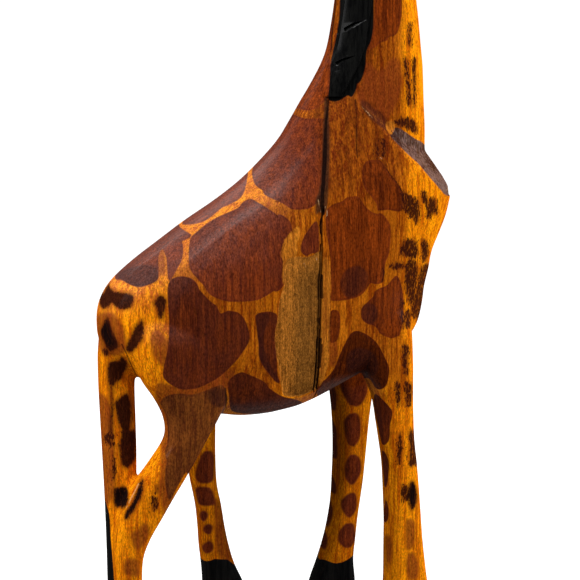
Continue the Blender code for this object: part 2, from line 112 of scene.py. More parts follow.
# Head sections along its own axis: station, drop below the axis, half-height, half-width.
HEAD_START = (68.0, 859.0)
HEAD_ANGLE = math.radians(-24.0)
HEAD_STEP = 3.0
HEAD_POWER = 2.3
HEAD = (
    (0, 0, 9, 8), (4, 0, 15, 12.5), (14, 0, 21.5, 17), (30, 0, 24.5, 19.5), (46, 1, 23, 18.5),
    (66, 3, 18.5, 15), (86, 5, 15, 12.5), (102, 6, 14, 12.5), (114, 6.5, 12.5, 12), (121, 7, 9, 9),
)
HORN_FOOT = (85.0, 9.5, 868.0)
HORN_TIP = (80.0, 11.5, HEIGHT)
HORN_RADIUS = 5.4
HORN_PROFILE = ((0, 1.15), (0.6, 0.92), (0.8, 1), (0.94, 0.92), (1, 0.6))
HORN_TIP_PAINT = 16.0

# Eye: station, lift, inner and outer distance from the middle, long and short radius.
EYE = (38.0, 2.0, 15.0, 20.6, 5.6, 3.8)
EYE_PROFILE = ((0, 1), (0.55, 1), (0.85, 0.8), (1, 0.4))
MOUTH_CORNER = 97.0
MOUTH_DROP = 11.0
MOUTH_KERF = 1.4
MOUTH_LENGTH = 40.0

# Nostril: station, lift, distance from the middle, radius.
NOSTRIL = (112.0, 1.5, 5.5, 1.5)

# Ears: a leaf blade with a round tenon in a blind socket.
EAR_ROOT = (77.0, 17.5, 866.0)
EAR_TIP = (64.0, 47.0, 880.0)
EAR_HALF_HEIGHT = 9.0
EAR_THICKNESS = 5.0
EAR_PROFILE = (
    (0.06, 0.42), (0.2, 0.75), (0.42, 1), (0.65, 0.86), (0.85, 0.5), (1, 0.1),
)
TENON_RADIUS = 3.0
TENON_LENGTH = 8.0

# The sloping ledge from which the neck rises: its plane, then the drop at its front end.
LEDGE_NORMAL = (0.471, 0.68, 0.563)
LEDGE_POINT = (104.0, 47.0, 447.0)
LEDGE_DROP = (
    (129, 463), (141, 445), (150, 429), (156, 412), (200, 404), (260, 404), (260, 600), (129, 600),
)

# The mane stands proud of the nape and is notched from the shoulders to the skull.
MANE_LOW = 500.0
MANE_HIGH = 862.0
# In plan: offset from the nape in x, and y as a share of the neck's half-width.
PAD_PLAN = (
    (6, -0.16), (-2.6, -0.27), (-2.8, -0.62), (5, -0.88), (17, -0.985), (20, -0.9), (20, -0.16),
)
NOTCH_FIRST = 527.0
NOTCH_PITCH = 34.0
# Each notch: its shift up, half its height at the mouth, its rise along the cut.
NOTCHES = (
    (4, 3.2, 6), (0, 3.6, 6.5), (1, 2.9, 5.5), (-2, 3.8, 7), (2, 3.1, 6), (-1, 3.5, 6),
    (0.5, 3, 5.5), (1, 3.6, 6.5), (-1, 3.2, 6), (0, 3, 5.5),
)

# The glue plane leans forward with height.
SEAM_FOOT_X = 14.0
SEAM_FOOT_Z = 248.0
SEAM_LEAN = 0.035
# The visible joint: height, and how far it runs in front of that plane.
JOINT_DRIFT = (
    (-50, 2.3), (248, 2.3), (286, 0.5), (316, -0.1), (345, -1.1), (372, -2), (395, -2.5),
    (408, -1.3), (420, 0.3), (440, 3.1), (460, 5.9), (480, 8.3), (496, 11), (520, 15), (1000, 15),
)

# The open part of the joint on the near side, and the depth of the chip behind it.
SPLIT_LOW = 232.0
SPLIT_TOP = 374.0
SPLIT_FLOOR_Y = -38.0
# Its two slits: rear edge, front edge, shift of the floor, drift to the rear per mm downwards.
SLITS = ((-2.3, -1.1, -6, 0.011), (-0.35, 0.9, 0, 0))
# Height and offset of its ragged top.
SPLIT_WANDER = (
    (372, 0), (378, 0.2), (387, -1.5), (393, -0.9), (401, 1.3), (411, -0.7),
)
CHIP_DEPTH = 2.6
# Dirt along the closed joint: height and half-width, height and how far it lies behind.
DIRT_WIDTH = ((220, 0.4), (260, 0.5), (390, 0.8), (412, 1.6), (450, 1.9), (478, 0.9), (496, 0.3))
DIRT_BACK = ((400, 0.3), (415, 1.4), (470, 1.1), (496, 0.3))

# The filler strip in the upper part of the joint: height and width.
FILLER_SHAPE = (
    (402.5, 1.6), (412, 3.4), (424, 5), (440, 5.2), (456, 4.8), (470, 4.2), (484, 2.6),
)
FILLER_FLOOR_Y = -26.0

# Marks are outlines on an upright sheet turned this far from the side view and seen from
# SHEET_FACE. A point on it is the distance along the sheet and the height. The near side's
# outlines were traced on the photo and converted to whole millimetres on this sheet.
SHEET_TURN = math.radians(-23.0)
SHEET_FACE = (-0.386, -0.909, 0.156)
# Depths inside and outside an outline are capped at this.
DEEP = 12.0

# Brown stain patches on the near side, and the strength of each one's colour.
PATCHES = (
    ((-79, 377), (-77, 383), (-60, 396), (-40, 405), (-35, 410), (-29, 413), (-23, 411), (-11, 404),
     (-5, 399), (-4, 392), (-5, 383), (-4, 370), (-5, 358), (-4, 345), (-5, 338), (-18, 330),
     (-28, 328), (-47, 329), (-59, 334), (-64, 339), (-67, 344), (-75, 353), (-78, 358), (-79, 366)),
    ((-94, 348), (-88, 351), (-82, 351), (-76, 349), (-72, 345), (-69, 339), (-60, 329), (-56, 326),
     (-54, 321), (-52, 319), (-47, 321), (-41, 320), (-37, 318), (-33, 313), (-29, 301), (-29, 294),
     (-32, 288), (-41, 276), (-54, 264), (-70, 257), (-78, 256), (-87, 257), (-98, 265), (-100, 273),
     (-96, 291), (-95, 303), (-95, 316), (-96, 339)),
    ((-103, 373), (-97, 376), (-88, 379), (-85, 377), (-84, 370), (-85, 364), (-88, 358), (-95, 348),
     (-98, 365)),
    ((-146, 347), (-140, 353), (-127, 367), (-115, 379), (-102, 389), (-97, 391), (-91, 388),
     (-81, 385), (-78, 383), (-82, 380), (-98, 373), (-105, 369), (-104, 355), (-105, 348),
     (-117, 343), (-124, 343), (-136, 346), (-143, 345)),
    ((-89, 391), (-81, 400), (-73, 407), (-62, 415), (-43, 428), (-37, 434), (-32, 433), (-35, 416),
     (-46, 408), (-53, 405), (-63, 397), (-71, 393), (-85, 390)),
    ((-28, 437), (-19, 449), (-8, 464), (1, 478), (7, 485), (15, 482), (23, 481), (33, 481),
     (39, 480), (39, 463), (38, 445), (37, 428), (36, 420), (32, 412), (25, 406), (19, 404),
     (10, 404), (6, 405), (0, 409), (-15, 416), (-18, 420), (-23, 423), (-26, 427)),
    ((11, 492), (16, 502), (24, 517), (31, 533), (34, 546), (39, 568), (40, 585), (41, 603),
     (48, 603), (46, 586), (44, 559), (43, 546), (42, 532), (41, 515), (40, 501), (33, 493),
     (29, 490), (22, 488), (16, 489)),
    ((37, 401), (42, 407), (51, 410), (55, 413), (64, 414), (68, 411), (71, 406), (76, 401),
     (82, 398), (87, 398), (95, 387), (95, 371), (94, 361), (91, 354), (90, 343), (88, 336),
     (82, 335), (77, 336), (72, 329), (66, 325), (54, 323), (41, 324), (42, 333), (41, 346),
     (41, 358), (39, 373), (37, 386)),
    ((41, 314), (48, 314), (50, 306), (49, 292), (46, 286), (41, 287), (40, 302)),
    ((61, 293), (66, 294), (74, 290), (82, 283), (87, 276), (94, 262), (96, 255), (95, 245),
     (92, 238), (85, 236), (78, 245), (71, 236), (59, 228), (45, 215), (31, 233), (31, 246),
     (38, 252), (45, 261), (51, 276), (57, 288)),
    ((69, 308), (70, 315), (80, 324), (81, 328), (86, 331), (93, 333), (102, 341), (108, 327),
     (109, 304), (106, 287), (103, 285), (97, 284), (87, 289), (85, 293), (81, 297), (76, 299),
     (71, 303)),
    ((-23, 316), (-13, 318), (-7, 316), (-5, 312), (-6, 297), (-6, 279), (-5, 261), (-3, 253),
     (-8, 256), (-18, 271), (-21, 280), (-21, 289), (-23, 307)),
    ((-47, 259), (-37, 266), (-29, 263), (-16, 255), (-12, 249), (-1, 240), (16, 231), (15, 212),
     (-4, 210), (-25, 222), (-42, 228), (-46, 233), (-47, 246)),
    ((-98, 251), (-87, 253), (-75, 251), (-57, 256), (-51, 255), (-49, 246), (-50, 235), (-61, 207),
     (-70, 188), (-81, 169), (-83, 182), (-90, 171), (-97, 159), (-100, 172), (-100, 187), (-99, 195),
     (-101, 202), (-99, 209), (-100, 232), (-104, 243)),
    ((-5, 400), (3, 397), (7, 391), (7, 383), (4, 376), (0, 370), (1, 360), (1, 343), (-3, 336),
     (-8, 336), (-8, 349), (-7, 371), (-7, 387)),
    ((15, 371), (16, 376), (19, 383), (27, 393), (30, 390), (31, 373), (30, 367), (24, 366),
     (20, 364), (16, 367)),
    ((69, 438), (69, 430), (71, 421), (82, 407), (83, 401), (93, 401), (104, 399), (107, 405),
     (106, 416), (102, 423), (96, 430), (87, 443), (83, 445), (76, 445), (72, 443)),
    ((81, 601), (80, 584), (80, 573), (78, 554), (74, 542), (78, 542), (82, 544), (85, 547),
     (91, 549), (93, 552), (99, 554), (102, 559), (104, 567), (105, 576), (104, 595), (98, 607),
     (89, 608)),
)
PATCH_TONES = (
    1.0, 0.66, 1.15, 0.95, 1.15, 1.0, 1.1, 1.05, 0.8, 0.42, 0.95, 0.62, 0.55, 1.4, 0.95, 0.95, 0.85,
    1.0,
)

# Thinner, redder stain beside them.
FAINT_PATCHES = (
    ((-118, 142), (-115, 140), (-114, 135), (-115, 129), (-121, 120), (-125, 120), (-129, 130),
     (-128, 135), (-123, 137)),
    ((-134, 111), (-129, 112), (-124, 109), (-123, 103), (-123, 95), (-134, 98), (-136, 104)),
    ((-160, 245), (-150, 243), (-145, 217), (-144, 183), (-147, 159), (-157, 152), (-159, 205)),
    ((-110, 303), (-105, 308), (-100, 304), (-94, 297), (-91, 289), (-93, 277), (-100, 278),
     (-106, 284), (-109, 293)),
    ((-159, 315), (-143, 321), (-134, 311), (-131, 299), (-133, 288), (-145, 282), (-156, 286),
     (-160, 301)),
    ((96, 85), (100, 91), (103, 82), (102, 67), (97, 62), (98, 60)),
    ((115, 106), (120, 108), (124, 102), (124, 86), (121, 78), (116, 79), (115, 93)),
    ((117, 72), (122, 74), (128, 63), (127, 48), (119, 48), (116, 60)),
    ((73, 530), (83, 523), (89, 525), (94, 532), (100, 534), (104, 528), (106, 515), (104, 502),
     (94, 482), (89, 482), (82, 486), (74, 488), (69, 493), (65, 499), (69, 514), (72, 523)),
    ((-105, 262), (-98, 262), (-87, 259), (-70, 259), (-59, 263), (-49, 269), (-41, 267), (-47, 252),
     (-56, 246), (-64, 247), (-87, 246), (-93, 242), (-96, 211), (-94, 186), (-95, 143), (-95, 128),
     (-103, 123), (-103, 153), (-106, 170), (-104, 187), (-105, 201), (-108, 208), (-110, 222),
     (-109, 244)),
    ((-111, 370), (-103, 373), (-99, 367), (-98, 356), (-103, 352), (-107, 357)),
    ((41, 288), (47, 286), (48, 276), (46, 264), (41, 264), (40, 277)),
)

# Places stained twice.
DEEP_PATCHES = (
    ((-23, 316), (-18, 317), (-13, 316), (-12, 311), (-16, 302), (-17, 289), (-13, 275), (-7, 262),
     (-3, 253), (-8, 256), (-18, 271), (-21, 280), (-21, 289), (-23, 307)),
    ((69, 497), (75, 495), (80, 490), (86, 487), (91, 481), (93, 476), (93, 470), (87, 473),
     (76, 481), (68, 492)),
    ((70, 315), (74, 318), (80, 317), (84, 311), (84, 304), (80, 299), (75, 300), (70, 305)),
    ((-144, 347), (-138, 352), (-119, 359), (-110, 359), (-105, 356), (-105, 348), (-117, 343),
     (-124, 343), (-136, 346)),
    ((-64, 252), (-56, 254), (-49, 249), (-50, 238), (-56, 237), (-62, 242)),
    ((50, 338), (52, 346), (57, 351), (65, 353), (71, 350), (75, 343), (73, 334), (69, 329),
     (60, 325), (53, 328)),
    ((59, 275), (68, 278), (80, 272), (86, 261), (82, 249), (60, 253), (56, 264)),
)

# Smooth stain on the rear facet of the near foreleg.
LEG_TONE = 0.7
LEG_PATCHES = (
    ((84, 217), (85, 230), (98, 218), (100, 211), (98, 201), (98, 189), (95, 182), (92, 180),
     (90, 187), (85, 210), (85, 214)),
    ((92, 172), (95, 172), (98, 164), (98, 151), (97, 141), (95, 137), (94, 148)),
    ((96, 124), (98, 121), (99, 114), (98, 105), (95, 102)),
)

# Scorched spots on the near side.
BURNS = (
    ((-155, 333), (-151, 340), (-145, 338), (-128, 337), (-124, 333), (-126, 327), (-130, 325),
     (-135, 324), (-139, 325), (-144, 328), (-146, 325), (-153, 322), (-158, 325), (-159, 330)),
    ((-106, 333), (-104, 335), (-101, 336), (-98, 333), (-97, 329), (-101, 317), (-104, 320),
     (-105, 325), (-107, 329)),
    ((-155, 303), (-148, 316), (-145, 313), (-141, 301), (-138, 296), (-138, 292), (-143, 288),
     (-148, 287), (-154, 297)),
    ((-153, 287), (-149, 288), (-148, 284), (-151, 281), (-153, 283)),
    ((-119, 315), (-116, 312), (-116, 304), (-118, 298), (-127, 288), (-131, 290), (-130, 296)),
    ((-149, 274), (-146, 277), (-140, 278), (-136, 283), (-132, 280), (-132, 274), (-137, 265),
     (-138, 261), (-142, 259), (-146, 255), (-149, 257), (-150, 265)),
    ((-142, 243), (-138, 246), (-134, 247), (-132, 242), (-131, 234), (-132, 217), (-136, 214),
     (-139, 218), (-142, 226), (-144, 239)),
    ((-139, 216), (-129, 214), (-128, 195), (-129, 189), (-132, 185), (-135, 184), (-139, 188),
     (-141, 204), (-139, 212)),
    ((-148, 255), (-146, 255), (-146, 235), (-147, 217), (-149, 217), (-148, 236)),
)

# Spots singed in small flecks.
SINGES = (
    ((-153, 213), (-149, 215), (-144, 214), (-144, 210), (-147, 209), (-144, 206), (-144, 203),
     (-150, 204), (-153, 207)),
    ((-147, 194), (-144, 193), (-143, 185), (-144, 176), (-146, 176), (-147, 185)),
    ((-109, 175), (-106, 175), (-105, 167), (-109, 168)),
    ((-112, 165), (-108, 165), (-105, 161), (-105, 154), (-108, 151), (-112, 153)),
    ((111, 563), (114, 564), (114, 546), (111, 546)),
    ((108, 534), (111, 533), (113, 520), (115, 502), (115, 493), (111, 494), (110, 506), (108, 522)),
    ((116, 533), (119, 533), (119, 515), (119, 493), (117, 494), (116, 513)),
    ((82, 462), (84, 464), (85, 457), (84, 447), (81, 447), (81, 455)),
    ((100, 478), (103, 481), (108, 482), (114, 481), (119, 479), (122, 472), (120, 468), (108, 473),
     (103, 473)),
    ((87, 463), (90, 462), (91, 453), (89, 447), (87, 448)),
    ((106, 416), (109, 416), (115, 411), (121, 409), (123, 404), (122, 389), (118, 389), (114, 394),
     (107, 400), (105, 407)),
    ((124, 416), (128, 415), (130, 410), (130, 405), (126, 406), (124, 410)),
    ((131, 408), (135, 410), (139, 408), (141, 394), (136, 395), (133, 391), (130, 392), (130, 401)),
    ((106, 370), (112, 373), (119, 372), (122, 366), (123, 359), (119, 355), (107, 359), (105, 364)),
    ((96, 352), (111, 351), (117, 348), (115, 346), (100, 347), (96, 349)),
    ((112, 353), (118, 354), (123, 349), (123, 339), (122, 325), (120, 314), (115, 312), (112, 322),
     (110, 336)),
    ((125, 371), (130, 371), (133, 365), (134, 355), (130, 350), (127, 352)),
    ((141, 344), (127, 347), (122, 325), (117, 307), (121, 298), (131, 290), (134, 308), (138, 322),
     (142, 338)),
    ((106, 316), (109, 317), (110, 308), (110, 297), (109, 292), (106, 294)),
    ((111, 306), (115, 307), (117, 299), (116, 292), (112, 292), (110, 299)),
    ((108, 276), (113, 276), (115, 269), (114, 260), (115, 251), (112, 247), (108, 254)),
    ((102, 241), (105, 243), (108, 238), (108, 225), (106, 219), (103, 222)),
    ((110, 240), (114, 241), (119, 236), (119, 223), (116, 216), (112, 219)),
    ((105, 193), (109, 193), (111, 186), (111, 169), (109, 162), (105, 164), (104, 179)),
    ((115, 193), (121, 194), (130, 172), (130, 153), (123, 159), (118, 158), (116, 168), (116, 181)),
    ((109, 143), (114, 143), (117, 139), (118, 129), (114, 125), (110, 128)),
)

# The blackest spots.
CHARS = (
    ((-122, 174), (-119, 177), (-121, 164), (-131, 148), (-134, 147), (-133, 152), (-126, 164)),
    ((-144, 167), (-140, 168), (-136, 167), (-132, 160), (-135, 155), (-139, 152), (-143, 151),
     (-145, 155), (-145, 162)),
    ((-154, 303), (-151, 309), (-148, 312), (-142, 297), (-143, 292), (-147, 292), (-151, 296)),
    ((118, 141), (120, 145), (123, 140), (125, 132), (125, 124), (122, 118), (120, 117), (118, 124),
     (117, 134)),
)

# Stained spots on the inner faces of the far legs, and darker spots down the far foreleg's rear edge.
FAR_SPOTS = (
    ((54, 226), (53, 252), (60, 261), (71, 259), (76, 249), (81, 222), (79, 212), (74, 205),
     (68, 205), (62, 208)),
    ((64, 197), (70, 197), (74, 192), (75, 181), (74, 171), (70, 165), (66, 164), (61, 169),
     (58, 187), (60, 193)),
    ((65, 155), (71, 154), (75, 149), (76, 138), (73, 130), (69, 125), (65, 125), (60, 132),
     (59, 142), (61, 150)),
    ((63, 115), (69, 116), (72, 110), (72, 100), (69, 94), (64, 91), (59, 96), (56, 103), (57, 110)),
    ((61, 85), (68, 84), (70, 78), (71, 67), (67, 60), (61, 60), (55, 65), (53, 72), (55, 79)),
    ((41, 242), (50, 222), (51, 206), (49, 198), (44, 204)),
    ((44, 186), (51, 181), (52, 164), (52, 150), (46, 152)),
    ((45, 132), (51, 124), (51, 114), (45, 115)),
    ((42, 107), (48, 99), (47, 87), (42, 78)),
    ((36, 77), (43, 69), (41, 58), (33, 59)),
    ((-75, 176), (-68, 177), (-65, 172), (-65, 157), (-66, 148), (-71, 146), (-78, 147), (-82, 151),
     (-81, 161)),
    ((-82, 141), (-74, 143), (-67, 139), (-64, 125), (-67, 124), (-75, 124), (-80, 125), (-82, 132)),
    ((-78, 117), (-74, 119), (-71, 116), (-72, 111), (-76, 108), (-79, 111)),
    ((-71, 106), (-67, 104), (-67, 100), (-69, 96), (-73, 96), (-76, 99), (-75, 103)),
    ((-71, 89), (-67, 87), (-66, 82), (-68, 78), (-73, 76), (-77, 78), (-77, 83)),
)

# Painted shade down the front of the far hind leg, laid on in the thin stain's colour.
FAR_SHADE = (
    ((-65, 129), (-61, 127), (-56, 107), (-53, 87), (-50, 67), (-59, 69), (-64, 84), (-65, 109)),
)

# Black paint of the mane, drawn up to this height and worked out from the nape above it.
MANE_PAINT_TOP = 585.0
MANE_PAINT = (
    ((51, 621), (50, 585), (49, 568), (46, 550), (42, 532), (41, 523), (40, 508), (39, 498),
     (44, 496), (50, 497), (56, 501), (60, 500), (64, 507), (65, 511), (68, 514), (72, 525),
     (73, 539), (77, 549), (79, 562), (79, 584), (80, 618)),
)

# Black paint of the tail.
TUFT_PAINT = (
    ((-158, 156), (-155, 155), (-150, 144), (-149, 121), (-148, 108), (-146, 87), (-144, 71),
     (-160, 65)),
)

# Bare wood where the surface chipped off.
RAW_WOOD = (
    ((3, 361), (1, 353), (1, 340), (-2, 332), (-4, 323), (-5, 310), (-7, 297), (-6, 279), (-4, 265),
     (-2, 251), (1, 240), (15, 238), (25, 241), (33, 245), (34, 261), (34, 297), (35, 324), (35, 363),
     (30, 367), (25, 364), (19, 363), (13, 364), (7, 363)),
)

# Rubbed golden strips beside the chip and at the foot of the neck.
BARE_STRIP = (
    ((35, 361), (40, 357), (41, 333), (41, 297), (40, 272), (38, 259), (35, 251), (31, 248),
     (31, 296), (32, 332)),
    ((2, 380), (13, 390), (14, 381), (11, 375), (12, 367), (4, 355), (1, 341), (-1, 348), (0, 360),
     (-2, 367)),
    ((91, 476), (94, 479), (98, 478), (99, 473), (97, 468), (93, 468)),
)

# Glue smear along the upper joint.
SMEAR = (
    ((36, 497), (39, 497), (40, 471), (40, 445), (39, 420), (37, 401), (32, 401), (28, 400),
     (28, 412), (31, 420), (33, 437), (34, 463), (35, 480)),
)

# Dark glossy stain on the shoulder ledge, mottled with painted grey sheen.
LEDGE_PAINT = (
    ((100, 473), (105, 472), (119, 463), (126, 460), (135, 453), (141, 446), (148, 435), (155, 423),
     (159, 410), (150, 411), (144, 416), (129, 432), (122, 440), (114, 447), (97, 463), (95, 467),
     (97, 471)),
)

# Splinters, rubbed edges and small nicks, and painted highlights along the ledge's rim and the mane's
# notches.
PALE_LINES_AND_HIGHLIGHTS = (
    ((69, 491), (74, 486), (79, 481)),
    # Painted highlight along the ledge's rim.
    ((142, 444), (147, 437), (152, 428), (155, 421), (150, 416)),
    ((30, 412), (31, 407), (32, 401)),
    ((36, 406), (38, 400), (36, 395)),
    ((85, 447), (87, 446)),
    ((27, 447), (27, 446)),
    ((28, 363), (30, 358)),
    ((-123, 174), (-128, 165), (-133, 155)),
    ((18, 358), (20, 353)),
    # Painted highlights along the mane's notches.
    ((48, 558), (53, 558), (59, 559), (64, 561), (69, 565), (73, 567)),
    ((55, 561), (60, 564), (65, 566), (72, 567)),
    ((43, 527), (48, 527), (53, 529), (59, 532), (64, 534)),
    ((47, 532), (52, 535), (58, 535), (63, 534)),
)

# Drying checks, the hairline beside the mane, scored lines, and painted shade in the crease at the
# tail's root.
DARK_LINES = (
    ((48, 604), (47, 586), (44, 559), (43, 546), (42, 532), (41, 515), (40, 501), (38, 480)),
    ((64, 462), (64, 456), (65, 447)),
    ((63, 497), (64, 480), (64, 462)),
    ((88, 349), (90, 345), (88, 336)),
    ((91, 437), (96, 430), (102, 423), (106, 416)),
    # Painted shade in the crease between the tail and the buttock.
    ((-135, 295), (-132, 288), (-129, 279), (-127, 271), (-126, 261)),
    ((-50, 253), (-49, 242), (-50, 231)),
)

# Guessed patches of the upper neck and head: place on the sheet, height, half sizes.
UPPER_SPOTS = (
    (72, 640, 8, 21), (101, 640, 13, 17), (88, 684, 10, 17), (108, 690, 7, 18), (76, 716, 6, 16),
    (98, 730, 12, 16), (83, 762, 8, 16), (103, 775, 8, 17), (90, 806, 11, 13), (106, 822, 7, 12),
    (84, 843, 8, 11), (108, 856, 11, 8), (132, 842, 9, 6), (90, 876, 8, 6),
)

# Guessed scorched dashes up the front of the breast and neck: their heights.
FRONT_HEIGHTS = (300, 335, 368, 396, 430, 478, 520, 556, 598, 640, 684, 730, 774, 812)

# Top of the black hooves, how much lower it is on the near foreleg, and the far hind one along x.
HOOF_TOP = 47.0
NEAR_HOOF_DROP = 9.0
FAR_HOOF = (
    (-69, 67), (-60, 71), (-47, 68), (-42, 63), (-33, 54),
)

# Linear colours.
ORANGE_LIGHT = (0.98, 0.32, 0.003)
ORANGE_DARK = (0.5, 0.1, 0.002)
ORANGE_DEEP = (0.42, 0.07, 0.002)
DULL_LIGHT = (0.5, 0.13, 0.006)
DULL_DARK = (0.17, 0.028, 0.002)
DULL_RED = (0.14, 0.02, 0.002)
STAIN_LIGHT = (0.24, 0.042, 0.008)
STAIN_DARK = (0.08, 0.012, 0.005)
STAIN_PURPLE = (0.11, 0.022, 0.012)
# Thin stain, also used for the painted shade on the far hind leg.
FAINT_STAIN_AND_SHADE = (0.2, 0.036, 0.006)
STAIN_DEEP = (0.028, 0.007, 0.006)
SCORCH = (0.026, 0.005, 0.003)
CHAR = (0.006, 0.003, 0.003)
SMEAR_TINT = (0.036, 0.017, 0.009)
UMBER_LIGHT = (0.25, 0.042, 0.004)
UMBER_DARK = (0.075, 0.011, 0.002)
# Pale of nicks and splinters, also of painted highlights.
NICK_AND_HIGHLIGHT = (0.8, 0.5, 0.24)
RUBBED_DARK = (0.24, 0.06, 0.006)
RUBBED_LIGHT = (0.6, 0.2, 0.016)
PORE = (0.16, 0.035, 0.006)
BARE_LIGHT = (0.34, 0.13, 0.02)
BARE_DARK = (0.12, 0.043, 0.007)
BLACK_DARK = (0.002, 0.002, 0.0022)
BLACK_WORN = (0.007, 0.007, 0.0065)
THIGH_LIGHT = (0.2, 0.056, 0.009)
THIGH_DARK = (0.085, 0.019, 0.005)
# Grey of painted highlights on the black mane's notches.
NICK_AND_HIGHLIGHT_GREY = (0.16, 0.16, 0.16)
# Grey of the painted sheen on the ledge.
LEDGE_SHEEN = (0.145, 0.088, 0.075)
LEDGE_DARK = (0.03, 0.014, 0.012)
# Colour of the painted sheen on up-facing surfaces.
PAINTED_SHEEN = (0.5, 0.42, 0.42)
TOAST = (0.15, 0.028, 0.004)
UMBER_PALE = (0.36, 0.085, 0.004)
EAR_LIGHT = (0.5, 0.17, 0.01)
EAR_DARK = (0.16, 0.04, 0.008)
DOWEL_LIGHT = (0.7, 0.5, 0.28)
DOWEL_DARK = (0.5, 0.33, 0.16)
# How much brighter the raw wood is towards the chip's back and top.
WORN_GAIN = (1.75, 1.6, 1.25)

# Soft lights: name, place along the picture, towards the viewer and up, size and power.
LIGHTS = (
    ("left_box", -1.3, 0.9, 0.8, 0.8, 25),
    ("right_box", 1.7, -0.1, 0.3, 1.3, 37),
    ("top_box", 0, 0.75, 1.6, 0.8, 17),
    ("back_box", -0.5, -1.3, 1.4, 1.4, 15),
)
LIGHT_MIDDLE = (0, 0, 0.35)
CAMERA_PLACE = (-0.3797, -0.9092, 0.4824)
CAMERA_AIM = (0.0062, 0, 0.326)
CAMERA_LENS = 67.84


def ramp(rows, value):
    """The table's row at this height, on a smooth curve through the stations."""
    last = len(rows) - 1
    k = 0
    while k < last - 1 and rows[k + 1][0] <= value:
        k += 1
    before = rows[max(k - 1, 0)]
    low = rows[k]
    high = rows[k + 1]
    after = rows[min(k + 2, last)]
    span = high[0] - low[0]
    t = (value - low[0]) / span
    h00 = 2 * t**3 - 3 * t**2 + 1
    h10 = t**3 - 2 * t**2 + t
    h01 = -2 * t**3 + 3 * t**2
    h11 = t**3 - t**2
    out = []
    for c in range(1, len(low)):
        rise_low = (high[c] - before[c]) / max(high[0] - before[0], 1e-6) * span
        rise_high = (after[c] - low[c]) / max(after[0] - low[0], 1e-6) * span
        out.append(h00 * low[c] + h10 * rise_low + h01 * high[c] + h11 * rise_high)
    return out


def straight(rows, value, column=1):
    """A column of the table at these values, straight between its rows."""
    table = np.array(rows, float)
    return np.interp(value, table[:, 0], table[:, column])


def steps(low, high, size):
    """Even stations from low to high, no further apart than size."""
    count = max(2, int(math.ceil((high - low) / size)))
    return [low + (high - low) * i / count for i in range(count + 1)]


def mirrored(point, side):
    return Vector((point[0], point[1] * side, point[2]))


def oval(centre, across, along, half_across, half_along, power=2.0, count=32):
    """A superellipse ring; a power of 2 is an ellipse, more is squarer."""
    ring = []
    for i in range(count):
        angle = 2 * math.pi * i / count
        c = math.cos(angle)
        s = math.sin(angle)
        a = math.copysign(abs(c) ** (2 / power), c) * half_across
        b = math.copysign(abs(s) ** (2 / power), s) * half_along
        ring.append(centre + across * a + along * b)
    return ring


def linked(name, data):
    """A new object in the scene."""
    obj = bpy.data.objects.new(name, data)
    bpy.context.scene.collection.objects.link(obj)
    return obj


def mesh_object(name, points, faces):
    """An object from millimetre points, with its faces turned outwards."""
    mesh = bpy.data.meshes.new(name)
    mesh.from_pydata([p * MM for p in points], [], faces)
    mesh.validate()
    bm = bmesh.new()
    bm.from_mesh(mesh)
    bmesh.ops.recalc_face_normals(bm, faces=bm.faces)
    bm.to_mesh(mesh)
    bm.free()
    return linked(name, mesh)


def loft(name, rings):
    """A closed shell through rings of equal count."""
    count = len(rings[0])
    points = [p for ring in rings for p in ring]
    top = len(points) - count
    faces = []
    for low in range(0, top, count):
        high = low + count
        for i in range(count):
            j = (i + 1) % count
            faces.append((low + i, low + j, high + j, high + i))
    faces.append(tuple(range(count))[::-1])
    faces.append(tuple(range(top, top + count)))
    return mesh_object(name, points, faces)


def upright(name, rows):
    """A loft through the horizontal sections of a table."""
    rings = []
    for z in steps(rows[0][0], rows[-1][0], SECTION_STEP):
        back, front, middle, half_width, power = ramp(rows, z)
        centre = Vector(((back + front) / 2, middle, z))
        rings.append(oval(centre, AHEAD, LEFT, (front - back) / 2, half_width, power))
    return loft(name, rings)


def prism(name, outline, low_y, high_y):
    """An x-z outline pushed through from one y to another."""
    count = len(outline)
    points = [Vector((x, low_y, z)) for x, z in outline]
    points += [Vector((x, high_y, z)) for x, z in outline]
    faces = [tuple(range(count)), tuple(range(count, 2 * count))[::-1]]
    for i in range(count):
        j = (i + 1) % count
        faces.append((i, i + count, j + count, j))
    return mesh_object(name, points, faces)


def rod(name, low, high, radius, count):
    """A round bar from one end to the other."""
    axis = (high - low).normalized()
    side = axis.orthogonal().normalized()
    other = axis.cross(side)
    return loft(name, [oval(end, side, other, radius, radius, 2.0, count) for end in (low, high)])


def slab(centre, sizes, turn=None):
    """A box from its centre, its sizes and an optional rotation."""
    points = []
    for i in range(8):
        corner = Vector(((i & 1) - 0.5, (i >> 1 & 1) - 0.5, (i >> 2 & 1) - 0.5))
        corner = Vector(c * s for c, s in zip(corner, sizes))
        if turn is not None:
            corner = turn @ corner
        points.append(Vector(centre) + corner)
    faces = ((0, 2, 3, 1), (4, 5, 7, 6), (0, 1, 5, 4), (2, 6, 7, 3), (0, 4, 6, 2), (1, 3, 7, 5))
    return mesh_object("slab", points, faces)


def bake(obj):
    """Turns the object's modifiers into its mesh."""
    graph = bpy.context.evaluated_depsgraph_get()
    graph.update()
    mesh = bpy.data.meshes.new_from_object(obj.evaluated_get(graph), depsgraph=graph)
    obj.modifiers.clear()
    obj.data = mesh
    return obj


def combine(obj, other, operation):
    """A Boolean that uses up the other object."""
    change = obj.modifiers.new(operation.title(), "BOOLEAN")
    change.operation = operation
    change.solver = "MANIFOLD"
    change.object = other
    bake(obj)
    bpy.data.objects.remove(other, do_unlink=True)
    return obj


